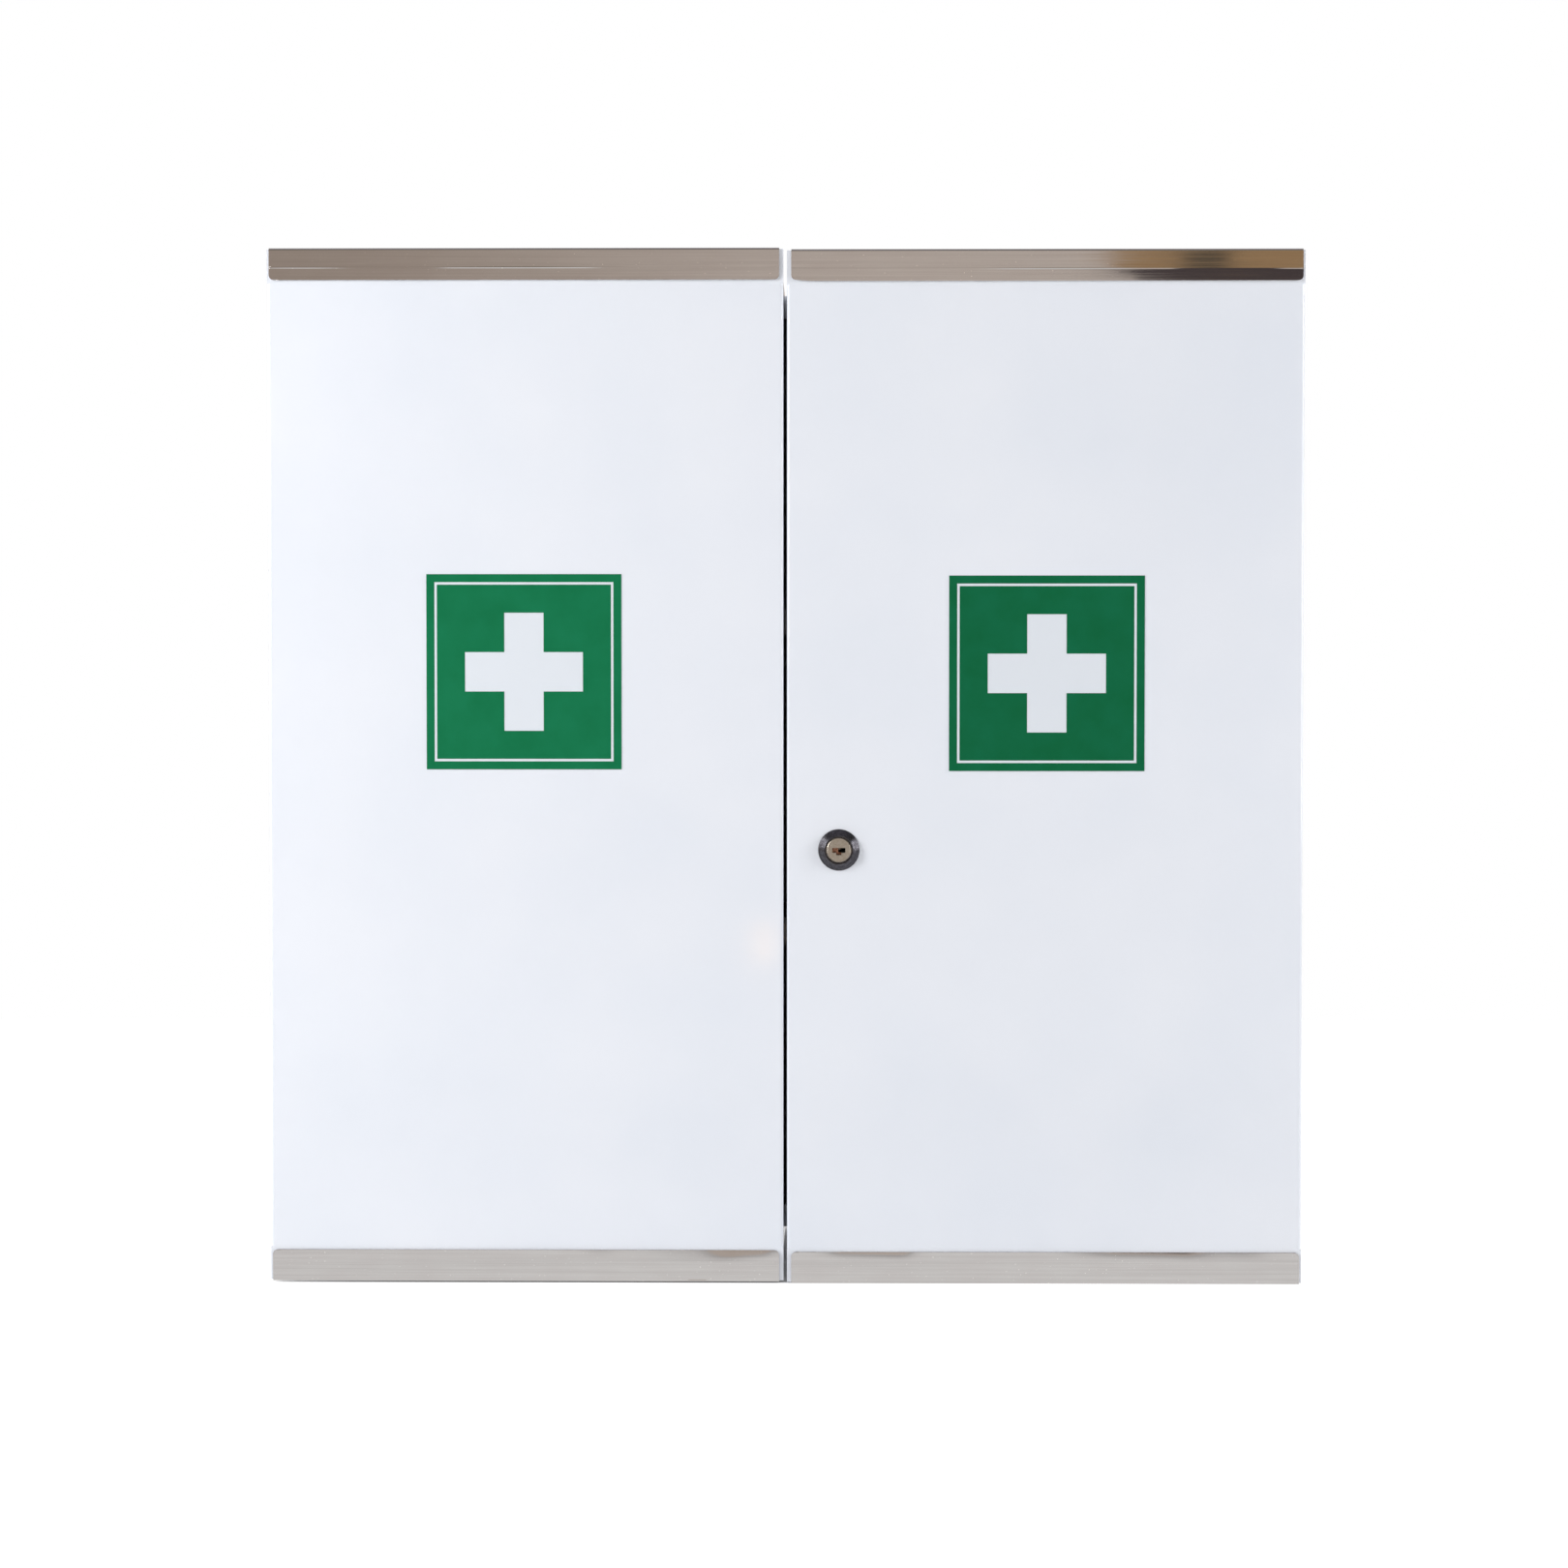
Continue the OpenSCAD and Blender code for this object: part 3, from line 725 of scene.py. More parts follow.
def moved(mesh: bpy.types.Mesh, x: float = 0.0, y: float = 0.0, z: float = 0.0,
          turn: float = 0.0, axis: str = "Y") -> bpy.types.Mesh:
    """Turns a mesh by degrees about an axis and then shifts it by millimetres."""
    place = Matrix.Translation((mm(x), mm(y), mm(z)))
    mesh.transform(place @ Matrix.Rotation(math.radians(turn), 4, axis))
    return mesh


def mirrored(mesh: bpy.types.Mesh, side: Side) -> bpy.types.Mesh:
    """Mirrors a mesh that was drawn for the right to its side."""
    if side is Side.LEFT:
        mesh.transform(Matrix.Diagonal((-1.0, 1.0, 1.0, 1.0)))
        mesh.flip_normals()
    return mesh


def box_of(node: str) -> tuple[Vector, Vector]:
    """Gives a node's lowest and highest corners in millimetres."""
    low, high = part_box(node)
    return low * 1000.0, high * 1000.0


def smooth(mesh: bpy.types.Mesh, sharp: float = 32.0) -> None:
    """Shades a mesh smooth, apart from edges sharper than so many degrees."""
    mesh.polygons.foreach_set("use_smooth", [True] * len(mesh.polygons))
    mesh.set_sharp_from_angle(angle=math.radians(sharp))


def add_piece(mesh: bpy.types.Mesh, finish: Finish, body: Body, *nodes: str) -> bpy.types.Object:
    """Adds a finished piece that moves with a body.

    Args:
        mesh: The piece's mesh, in the frame. It gives the piece its name.
        finish: Its surface.
        body: What it moves with.
        *nodes: The model's nodes that it stands for.

    Returns:
        The piece.
    """
    smooth(mesh)
    mesh.materials.append(finish.material())
    piece = bpy.data.objects.new(mesh.name, mesh)
    bpy.context.scene.collection.objects.link(piece)
    weighted = piece.modifiers.new("weighted_normals", "WEIGHTED_NORMAL")
    weighted.keep_sharp = True
    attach(piece, body.value)
    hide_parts(*nodes)
    LOG.info("%s: %s faces, %s", piece.name, len(mesh.polygons), finish.name)
    return piece


@dataclass
class PaintedSheets:
    """Every sheet that is folded, welded and powder coated."""

    nodes: dict[str, bpy.types.Object]
    finish: Finish = GlossPowderCoat()
    edge: float = 0.25
    carcase: tuple[str, ...] = ("carcase_shell", "back_panel", "upper_shelf", "lower_shelf")
    door: tuple[str, ...] = ("door_skin", "door_top", "door_bottom", "door_shelf_1", "door_shelf_2",
                             "door_shelf_3")

    def build(self) -> None:
        """Dresses the carcase and both doors."""
        names = list(self.carcase) + [f"{side.word}_{part}" for side in Side for part in self.door]
        for name in names:
            dress(self.nodes[name], self.finish)
            soften(self.nodes[name], self.edge)


def soften(piece: bpy.types.Object, radius: float) -> None:
    """Rounds a piece's sharp edges by a radius in millimetres."""
    bevel = piece.modifiers.new("softened_edge", "BEVEL")
    bevel.width = mm(radius)
    bevel.segments = 2
    bevel.limit_method = "ANGLE"
    bevel.angle_limit = math.radians(50.0)
    piece.modifiers.new("weighted_normals", "WEIGHTED_NORMAL")


def dress(node: bpy.types.Object, finish: Finish) -> None:
    """Gives a node of the model its finish."""
    for slot in node.material_slots:
        slot.material = finish.material()
    LOG.info("%s: %s", node.name, finish.name)


@dataclass
class Sign:
    """A square sign: a white film with the green printed round a bare line and cross."""

    side: Side
    nodes: dict[str, bpy.types.Object]
    film: Finish = CalenderedVinyl()
    left_ink: Finish = ScreenPrintInk()
    # The right sign's ink is a darker copy of the same green: painted shade for the less lit right door.
    right_shaded_ink: Finish = ScreenPrintInk("green_screen_print_shaded", "#056039", "#0A6541")

    def build(self) -> None:
        """Dresses the film and the print."""
        dress(self.nodes[f"{self.side.word}_sign_film"], self.film)
        # The right sign takes the darker copy of the ink, which is painted shade.
        ink = self.left_ink if self.side is Side.LEFT else self.right_shaded_ink
        dress(self.nodes[f"{self.side.word}_sign_print"], ink)


@dataclass
class GripStrip:
    """A stainless strip folded over the lip of a door, with a crease along its front leg.

    The front leg has a folded facet next to the fold and a free one past the crease, which
    lean back from it. Hands have rippled them, worn a ridge on each side of the crease, and
    sprung the free edge of the bottom strips back in places.
    """

    side: Side
    end: End
    finish: Finish = RolledStainless()
    sheet: float = 0.6
    facet: float = 10.0
    free: float = 6.3
    back: float = 11.0
    lean: float = 1.5
    fold_r: float = 1.2
    crease_r: float = 0.5
    ridge_w: float = 0.5
    corner_r: float = 2.6
    cut_edge: float = 0.06
    columns: int = 96
    edge_rows: tuple[float, ...] = (0.0, 0.04, 0.12, 0.25, 0.45, 0.7, 1.0, 1.3, 1.6)
    wave: float = 0.05
    wave_length: float = 90.0
    wave_seed: Point = (7.0, 3.0)
    twist: float = 1.4
    twist_seed: Point = (5.0, 11.0)
    curl_run: float = 6.3
    curl_length: float = 45.0
    curl_seed: Point = (4.3, -2.6)
    curl_gain: float = 4.0
    bent_lift: float = 0.6
    lift_run: float = 9.0

    @property
    def ridge(self) -> float:
        """Height of the ridges beside the crease, which hands wear most at the top."""
        return 0.045 if self.end is End.TOP else 0.012

    @property
    def curl(self) -> float:
        """How far the free edge has sprung back at most."""
        return 0.0 if self.end is End.TOP else 0.17

    @property
    def lift(self) -> float:
        """How far the corner at the gap is bent up, which only the right top strip's is."""
        return self.bent_lift if (self.side, self.end) == (Side.RIGHT, End.TOP) else 0.0

    def build(self) -> None:
        """Folds the strip and puts it in place of its solid."""
        node = f"{self.side.word}_{self.end.name.lower()}_grip"
        low, high = box_of(node)
        work = bmesh.new()
        rows = [self.row(work, point, run, low, high) for point, run in self.section(low.y, high.y)]
        for row, other in zip(rows, rows[1:]):
            for a, b, c, d in zip(row, row[1:], other[1:], other):
                work.faces.new((a, b, c, d))
        mesh = to_mesh(f"{node}_strip", work)
        add_piece(self.thick(mesh), self.finish, self.side.door, node)

    def section(self, crest: float, rear: float) -> list[tuple[Point, float]]:
        """Gives the outer face's section.

        Args:
            crest: Y of the crease.
            rear: Y of the leg behind the lip.

        Returns:
            Each point as Y and depth below the fold, with its run from the front leg's free edge.
        """
        foot = self.facet + self.free
        lean = math.tan(math.radians(self.lean))
        worn = crest + self.ridge
        corners = [(worn + self.free * lean, foot), (worn, self.facet + self.ridge_w),
                   (crest, self.facet), (worn, self.facet - self.ridge_w),
                   (worn + self.facet * lean, 0.0), (rear, 0.0), (rear, self.back)]
        folded = rounded(corners, [self.crease_r] * 3 + [self.fold_r] * 2, 4)
        start, after = Vector(folded[0]), Vector(folded[1])
        near = [start.lerp(after, self.corner_r * share / (after - start).length)
                for share in self.edge_rows]
        points = [tuple(p) for p in near] + folded[1:]
        runs = [0.0]
        for a, b in zip(points, points[1:]):
            runs.append(runs[-1] + math.dist(a, b))
        return list(zip(points, runs))

    def sway(self, x: float, length: float, seed: Point) -> float:
        """Gives this strip's own slow noise at an X, from -1 to 1."""
        return noise.noise((x / length, self.side.value * seed[0], self.end.value * seed[1]))

    def row(self, work: bmesh.types.BMesh, point: Point, run: float, low: Vector,
            high: Vector) -> list[bmesh.types.BMVert]:
        """Adds one row of vertices along the strip, drawn in at its round corners.

        Args:
            work: The mesh that gets the row.
            point: Y and depth below the fold.
            run: Run from the front leg's free edge.
            low: Lowest corner of the strip's solid.
            high: Its highest corner.

        Returns:
            The row's vertices.
        """
        y0, depth = point
        fold = high.z if self.end is End.TOP else low.z
        inset = 0.0
        if run < self.corner_r:
            inset = self.corner_r - math.sqrt(self.corner_r ** 2 - (self.corner_r - run) ** 2)
        left, right = low.x + inset, high.x - inset
        held = min(1.0, depth / self.facet)
        in_facet = y0 - low.y < self.facet * math.tan(math.radians(self.lean))
        sprung = self.curl * max(0.0, 1.0 - run / self.curl_run) ** 2
        past_crease = max(0.0, depth - self.facet) / self.free
        row = []
        for i in range(self.columns + 1):
            x = left + (right - left) * i / self.columns
            y = y0 + self.wave * abs(self.sway(x, self.wave_length, self.wave_seed)) * held
            if in_facet:
                y += (y0 - low.y) * self.twist * self.sway(x, self.wave_length, self.twist_seed)
            spring = self.sway(x, self.curl_length, self.curl_seed) * self.curl_gain
            y += sprung * max(0.0, min(1.0, spring))
            from_gap = right - x if self.side is Side.LEFT else x - left
            lift = self.lift * max(0.0, 1.0 - from_gap / self.lift_run) ** 2
            z = fold - self.end.value * (depth - lift * past_crease)
            row.append(work.verts.new((mm(x), mm(y), mm(z))))
        return row

    def thick(self, mesh: bpy.types.Mesh) -> bpy.types.Mesh:
        """Gives the folded face its thickness and its cut edges their small rounding."""
        if mesh.polygons[0].normal.y >= 0:
            mesh.flip_normals()
        carrier = bpy.data.objects.new(mesh.name, mesh)
        bpy.context.scene.collection.objects.link(carrier)
        solid = carrier.modifiers.new("sheet", "SOLIDIFY")
        solid.thickness = mm(self.sheet)
        solid.offset = -1.0
        soften(carrier, self.cut_edge)
        made = bpy.data.meshes.new_from_object(
            carrier.evaluated_get(bpy.context.evaluated_depsgraph_get()))
        name = mesh.name
        bpy.data.objects.remove(carrier)
        bpy.data.meshes.remove(mesh)
        made.name = name
        return made


@dataclass
class CamLock:
    """The cam lock of the right door, with its key slot level."""

    charcoal: Finish = TurnedZamak()
    nickel: Finish = SatinNickelPlate()
    brass: Finish = StampedBrass()
    zinc: Finish = BrightZincPlate()
    cone_round: float = 0.12
    seat_w: float = 2.8
    seat_d: float = 1.1
    crown_w: float = 0.3
    rosette_play: float = 0.1
    body_play: float = 0.05
    ring_gap: float = 0.55
    ring_depth: float = 2.2
    face_d: float = 1.4
    bevel_w: float = 0.55
    bevel_d: float = 0.35
    lip_w: float = 0.3
    flats: float = 12.5
    key_w: float = 6.7
    key_h: float = 2.3
    groove_w: float = 2.7
    slot_end: float = 6.0
    wafer_t: float = 0.6
    wafer_corner: float = 0.5
    window_w: float = 4.1
    window_h: float = 2.76
    window_shifts: tuple[float, ...] = (1.8, 1.5, 1.6, 1.4, 1.7)
    collar_t: float = 1.0
    collar_edge: float = 0.2
    thread_in: float = 0.8
    pitch: float = 1.0
    thread_d: float = 0.45
    nut_in: float = 0.7
    nut_edge: float = 0.5
    hub_r: float = 7.0
    cam_w: float = 11.0
    cam_edge: float = 0.35
    square: float = 7.0
    square_hole: float = 7.2
    shoulder: float = 0.3
    screw_r: float = 4.5
    screw_t: float = 2.4
    shank_r: float = 2.0
    recess: Point = (2.6, 0.5)

    def build(self) -> None:
        """Builds the lock from its face to its cam."""
        low, high = box_of("lock_rosette")
        self.x = (low.x + high.x) / 2
        self.z = (low.z + high.z) / 2
        self.plug_r = box_of("lock_plug")[1].z - self.z
        self.build_rosette(high.x - self.x, low.y, high.y)
        self.build_body(high.y)
        self.build_plug()
        self.build_wafers()
        self.build_nut()
        self.build_cam()
        self.build_screw()

    def put(self, mesh: bpy.types.Mesh, y: float, finish: Finish, body: Body, node: str) -> None:
        """Puts a mesh that was drawn round the origin on the lock's axis."""
        add_piece(moved(mesh, self.x, y, self.z), finish, body, node)

    def build_rosette(self, radius: float, front: float, face: float) -> None:
        """Turns the dark cone round the plug."""
        height = face - front
        bore = self.plug_r + self.rosette_play
        lip = self.plug_r + self.ring_gap
        crown = lip + self.crown_w
        ledge = height - self.ring_depth
        seat = bore + self.seat_w
        edge = self.cone_round
        profile = [(bore, self.seat_d), (seat, self.seat_d), (seat, 0.0), (radius - 0.1, 0.0),
                   (radius, edge), (radius, 0.42), (radius - edge, 0.6), (crown + 0.2, height - 0.1),
                   (crown, height), (crown - 0.25, height - 0.03), (lip, height - 0.35), (lip, ledge),
                   (bore, ledge)]
        self.put(lathe("lock_rosette_cone", profile, 128), face, self.charcoal, Body.RIGHT_DOOR,
                 "lock_rosette")

    def build_body(self, face: float) -> None:
        """Turns the body, with its collar under the rosette and its thread behind the door."""
        low, high = box_of("lock_body")
        collar = (high.x - low.x) / 2
        outer, edge = collar - self.thread_in, self.collar_edge
        bore = self.plug_r + self.body_play
        length = high.y - low.y
        skin = low.y - box_of("lock_nut")[0].y
        steps = round((length + skin) / self.pitch * 6)
        behind = [(outer, skin + (-length - skin) * i / steps) for i in range(steps + 1)]
        profile = [(bore, 0.0), (collar - edge, 0.0), (collar, -edge), (collar, -self.collar_t),
                   *behind, (bore, -length)]

        def thread(angle: float, radius: float, height: float) -> float:
            """Draws the helix in where the nut runs."""
            if radius != outer or not -length + 0.5 < height < skin:
                return radius
            turn = (height / self.pitch + angle / (2 * math.pi)) % 1.0
            return radius - self.thread_d * abs(2 * turn - 1)

        self.put(lathe("lock_body_barrel", profile, 72, thread), low.y, self.nickel,
                 Body.RIGHT_DOOR, "lock_body")

    def key_slot(self) -> list[Point]:
        """Gives the key slot's outline, a level slot with a groove below its middle."""
        w, h, g = self.key_w / 2, self.key_h / 2, self.groove_w / 2
        return [(-w, h), (w, h), (w, -h), (g, -h), (g, -2 * h), (-g, -2 * h), (-g, -h), (-w, -h)]

    def build_plug(self) -> None:
        """Builds the plug: a face with two flats, a round core and a square stub for the cam.

        Its front edge is bevelled, and keys have worn the slot's lower lip. The key slot ends
        in a dark cone.
        """
        low, high = box_of("lock_plug")
        half = self.flats / 2
        clipped = [(max(-half, min(half, x)), z) for x, z in circle(self.plug_r, steps=96)]
        drawn_in = [tuple(Vector(p) * (1.0 - self.bevel_w / math.hypot(*p))) for p in clipped]
        worn_slot = [(x, z if z > 0.0 else z - self.lip_w) for x, z in self.key_slot()]
        cam = box_of("lock_cam")[0].y
        core_end = cam - self.slot_end
        rim_end, face_end = low.y + self.bevel_d, low.y + self.face_d
        rim = plate("rim", [drawn_in, worn_slot], self.bevel_d, 0.0)
        for vertex in (v for v in rim.vertices if v.co.y > 0.0):
            reach = math.hypot(vertex.co.x, vertex.co.z)
            if reach > mm(half - 2 * self.bevel_w):
                vertex.co.x *= 1.0 + mm(self.bevel_w) / reach
                vertex.co.z *= 1.0 + mm(self.bevel_w) / reach
            elif vertex.co.z < 0.0:
                vertex.co.z += mm(self.lip_w)
        round_face, seat = [circle(self.plug_r)], cam - self.shoulder
        stub = block(self.square, self.square, 0.4)
        parts = [
            (rim, low.y, rim_end),
            (plate("face", [clipped, self.key_slot()], face_end - rim_end, 0.0), rim_end, face_end),
            (plate("core", [*round_face, self.key_slot()], core_end - face_end, 0.0), face_end, core_end),
            (plate("end", round_face, seat - core_end, 0.05), core_end, seat),
            (plate("stub", [stub], high.y - seat, 0.2), seat, high.y),
        ]
        meshes = [moved(mesh, y=(start + end) / 2) for mesh, start, end in parts]
        cone = [(0.0, 0.0), (self.key_w / 2 + 0.3, 0.0), (0.0, self.key_w)]
        meshes.append(moved(lathe("slot_end", cone, 32), y=core_end + 0.01))
        self.put(merged("lock_plug_core", meshes), 0.0, self.nickel, Body.LOCK, "lock_plug")

    def build_wafers(self) -> None:
        """Stamps the wafers, whose windows the key's cuts would line up."""
        low, high = box_of("lock_wafers")
        step = (high.y - low.y - self.wafer_t) / (len(self.window_shifts) - 1)
        width, height = high.x - low.x, high.z - low.z
        middle = (high.z + low.z) / 2 - self.z
        meshes = []
        for i, shift in enumerate(self.window_shifts):
            window = block(self.window_w, self.window_h, 0.2, (shift, 0.0))
            outline = block(width, height, self.wafer_corner, (0.0, middle))
            mesh = plate(f"wafer_{i}", [outline, window], self.wafer_t, 0.08)
            meshes.append(moved(mesh, y=low.y + self.wafer_t / 2 + i * step))
        self.put(merged("lock_wafer_pack", meshes), 0.0, self.brass, Body.LOCK, "lock_wafers")

    def build_nut(self) -> None:
        """Forms the hexagon nut with its chamfered corners."""
        low, high = box_of("lock_nut")
        across = (high.z - low.z) / 2
        hexagon = circle(max(across, (high.x - low.x) / 2), steps=6)
        bore = circle(box_of("lock_body")[1].x - self.x - self.nut_in)
        mesh = plate("lock_hexagon_nut", [hexagon, bore], high.y - low.y, self.nut_edge)
        self.put(mesh, (low.y + high.y) / 2, self.zinc, Body.RIGHT_DOOR, "lock_nut")

    def build_cam(self) -> None:
        """Stamps the cam, a hub that narrows to an arm with a round tip."""
        low, high = box_of("lock_cam")
        tip_r = self.cam_w / 2
        reach = high.x - self.x - tip_r
        root = math.asin(tip_r / self.hub_r)
        hub = [(self.hub_r * x, self.hub_r * z) for x, z in arc(root, 2 * math.pi - root, 40)]
        tip = [(reach + tip_r * x, tip_r * z) for x, z in arc(-math.pi / 2, math.pi / 2, 16)]
        hole = block(self.square_hole, self.square_hole, 0.3)
        mesh = plate("lock_cam_arm", [hub + tip, hole], high.y - low.y, self.cam_edge)
        self.put(mesh, (low.y + high.y) / 2, self.zinc, Body.LOCK, "lock_cam")

    def build_screw(self) -> None:
        """Turns the pan head screw with its cross recess."""
        low, high = box_of("cam_screw")
        half = self.screw_t / 2
        arm, width = self.recess
        cross = [(arm, width), (width, width), (width, arm), (-width, arm), (-width, width),
                 (-arm, width), (-arm, -width), (-width, -width), (-width, -arm), (width, -arm),
                 (width, -width), (arm, -width)]
        head = plate("head", [circle(self.screw_r), cross], half, 0.3)
        base = plate("base", [circle(self.screw_r)], half, 0.1)
        shank = plate("shank", [circle(self.shank_r)], high.y - self.screw_t - low.y, 0.1)
        meshes = [moved(head, y=high.y - half / 2), moved(base, y=high.y - 1.5 * half),
                  moved(shank, y=(low.y + high.y - self.screw_t) / 2)]
        self.put(merged("cam_pan_screw", meshes), 0.0, self.zinc, Body.LOCK, "cam_screw")


@dataclass
class SlideBolt:
    """The small bolt inside the left door, with its guide and both doors' keepers."""

    nodes: dict[str, bpy.types.Object]
    zinc: Finish = BrightZincPlate()
    black: Finish = MouldedNylon()
    sheet_edge: float = 0.25
    bar_t: float = 3.0
    bar_corner: float = 2.0
    bar_edge: float = 0.4
    stem_r: float = 2.5
    ribs: int = 24
    rib_d: float = 0.35

    def build(self) -> None:
        """Builds the bolt and its knob, and dresses what it runs in and hooks behind."""
        for name in ("bolt_guide", "left_keeper", "right_keeper"):
            dress(self.nodes[name], self.zinc)
            soften(self.nodes[name], self.sheet_edge)
        self.build_bar()
        self.build_knob()

    def build_bar(self) -> None:
        """Cuts the bar with its rounded tip, and sets the stem in it."""
        low, high = box_of("slide_bolt")
        knob_low, knob_high = box_of("bolt_knob")
        width = high.x - low.x
        x, z = (low.x + high.x) / 2, (low.z + high.z) / 2
        r, stem_end = self.stem_r, self.bar_t - high.y + low.y
        bar = plate("bar", [block(width, high.z - low.z, self.bar_corner)], self.bar_t, self.bar_edge)
        stem = lathe("stem", [(0.0, 0.0), (r, 0.0), (r, stem_end), (0.0, stem_end)], 32)
        moved(bar, x, low.y + self.bar_t / 2, z)
        moved(stem, x, low.y + self.bar_t, (knob_low.z + knob_high.z) / 2)
        add_piece(merged("slide_bolt_bar", [bar, stem]), self.zinc, Body.BOLT, "slide_bolt")

    def build_knob(self) -> None:
        """Moulds the knob with its ribbed rim and dished face."""
        low, high = box_of("bolt_knob")
        radius, height = (high.x - low.x) / 2, high.y - low.y

        def ribbed(angle: float, r: float, h: float) -> float:
            """Draws in the grooves of the rim."""
            return r - self.rib_d * max(0.0, math.cos(self.ribs * angle)) if r > radius - 0.4 else r

        profile = [(0.0, 0.0), (radius - 1.0, 0.0), (radius - 0.2, 0.8), (radius, 1.4),
                   (radius, height - 2.2), (radius - 0.2, height - 1.4), (radius - 0.9, height - 0.5),
                   (radius * 0.66, height), (radius * 0.55, height - 0.3), (0.0, height - 0.9)]
        mesh = moved(lathe("bolt_knob_grip", profile, 96, ribbed), turn=180.0, axis="Z")
        moved(mesh, (low.x + high.x) / 2, low.y, (low.z + high.z) / 2)
        add_piece(mesh, self.black, Body.BOLT, "bolt_knob")


@dataclass
class Hinge:
    """A barrel hinge with five knuckles, one leaf welded to the carcase and one to the door."""

    side: Side
    level: str
    finish: Finish = BrightZincPlate()
    knuckles: int = 5
    knuckle_gap: float = 0.3
    knuckle_r: float = 3.5
    pin_r: float = 1.5
    head_r: float = 2.5
    head_t: float = 1.2
    leaf_t: float = 1.0
    leaf_shift: float = 0.7
    leaf_corner: float = 2.0
    turned_edge: float = 0.25
    weld_r: float = 1.6
    weld_d: float = 0.25
    weld_places: tuple[float, ...] = (1 / 6, 1 / 2, 5 / 6)

    def build(self) -> None:
        """Builds both leaves and the pin."""
        stem = f"{self.side.word}_{self.level}"
        low, high = box_of(f"{stem}_hinge_pin")
        self.pin_x = abs(low.x + high.x) / 2
        self.pin_y = (low.y + high.y) / 2
        self.low_z = low.z + self.head_t
        self.height = high.z - low.z - 2 * self.head_t
        self.build_leaf(f"{stem}_frame_leaf", 0, Body.CARCASE)
        self.build_leaf(f"{stem}_door_leaf", 1, self.side.door)
        self.build_pin(f"{stem}_hinge_pin")

    def span(self, knuckle: int) -> tuple[float, float]:
        """Gives the lower and upper end of a knuckle above the hinge's foot."""
        tall = (self.height - (self.knuckles - 1) * self.knuckle_gap) / self.knuckles
        start = knuckle * (tall + self.knuckle_gap)
        return start, start + tall

    def leaf_outline(self, root: float, tip: float, own: Iterable[int]) -> list[Point]:
        """Gives a leaf's outline, with a finger to each of its own knuckles.

        Args:
            root: X of the leaf's edge beside the barrel.
            tip: X of its far edge.
            own: The knuckles that the leaf carries.

        Returns:
            The outline, measured from the pin and the hinge's foot.
        """
        corner = self.leaf_corner
        turns = arc(0.0, math.pi / 2, 5)
        outline = [(tip + corner - corner * z, corner - corner * x) for x, z in turns]
        outline += [(tip + corner - corner * x, self.height - corner + corner * z) for x, z in turns]
        fingers = []
        for knuckle in sorted(own, reverse=True):
            start, end = self.span(knuckle)
            fingers += [(root, end), (0.0, end), (0.0, start), (root, start)]
        if 0 in own:
            return outline + fingers[1:-1]
        return outline + [(root, self.height), *fingers, (root, 0.0)]

    def build_leaf(self, node: str, first: int, body: Body) -> None:
        """Builds a leaf with its rolled knuckles and the marks of its spot welds."""
        low, high = box_of(node)
        own = range(first, self.knuckles, 2)
        tip = min(abs(low.x), abs(high.x)) - self.pin_x
        root = -self.knuckle_r - self.knuckle_gap
        inner = body is Body.CARCASE
        shift = self.leaf_shift if inner else -self.leaf_shift
        spots = [((root + tip) / 2, self.height * place) for place in self.weld_places]
        outlines = [self.leaf_outline(root, tip, own), *(circle(self.weld_r, spot, 24) for spot in spots)]
        parts = [moved(plate("leaf", outlines, self.leaf_t, 0.2), y=shift)]
        for x, z in spots:
            weld = plate("weld", [circle(self.weld_r, steps=24)], self.leaf_t - 2 * self.weld_d, 0.1)
            parts.append(moved(weld, x, shift, z))
        bore = self.pin_r + (0.0 if inner else 0.05)
        r, edge = self.knuckle_r, self.turned_edge
        for knuckle in own:
            start, end = self.span(knuckle)
            tall = end - start
            profile = [(bore, 0.0), (r - edge, 0.0), (r, edge), (r, tall - edge), (r - edge, tall),
                       (bore, tall)]
            parts.append(moved(lathe("knuckle", profile, 40), z=start, turn=-90.0, axis="X"))
        mesh = merged(f"{node}_plate", parts)
        moved(mesh, self.pin_x, self.pin_y, self.low_z)
        add_piece(mirrored(mesh, self.side), self.finish, body, node)

    def build_pin(self, node: str) -> None:
        """Turns the pin with a domed head at each end."""
        h, t, r = self.height, self.head_t, self.head_r
        dome = [(r * x, t * z) for x, z in arc(0.0, math.pi / 2, 5)]
        profile = [(0.0 if i == 5 else x, -z) for i, (x, z) in enumerate(dome)][::-1]
        profile += [(self.pin_r, 0.0), (self.pin_r, h)]
        profile += [(x, h + z) for x, z in dome[:-1]] + [(0.0, h + t)]
        mesh = moved(lathe(f"{node}_rod", profile, 32), turn=-90.0, axis="X")
        moved(mesh, self.pin_x, self.pin_y, self.low_z)
        add_piece(mirrored(mesh, self.side), self.finish, Body.CARCASE, node)


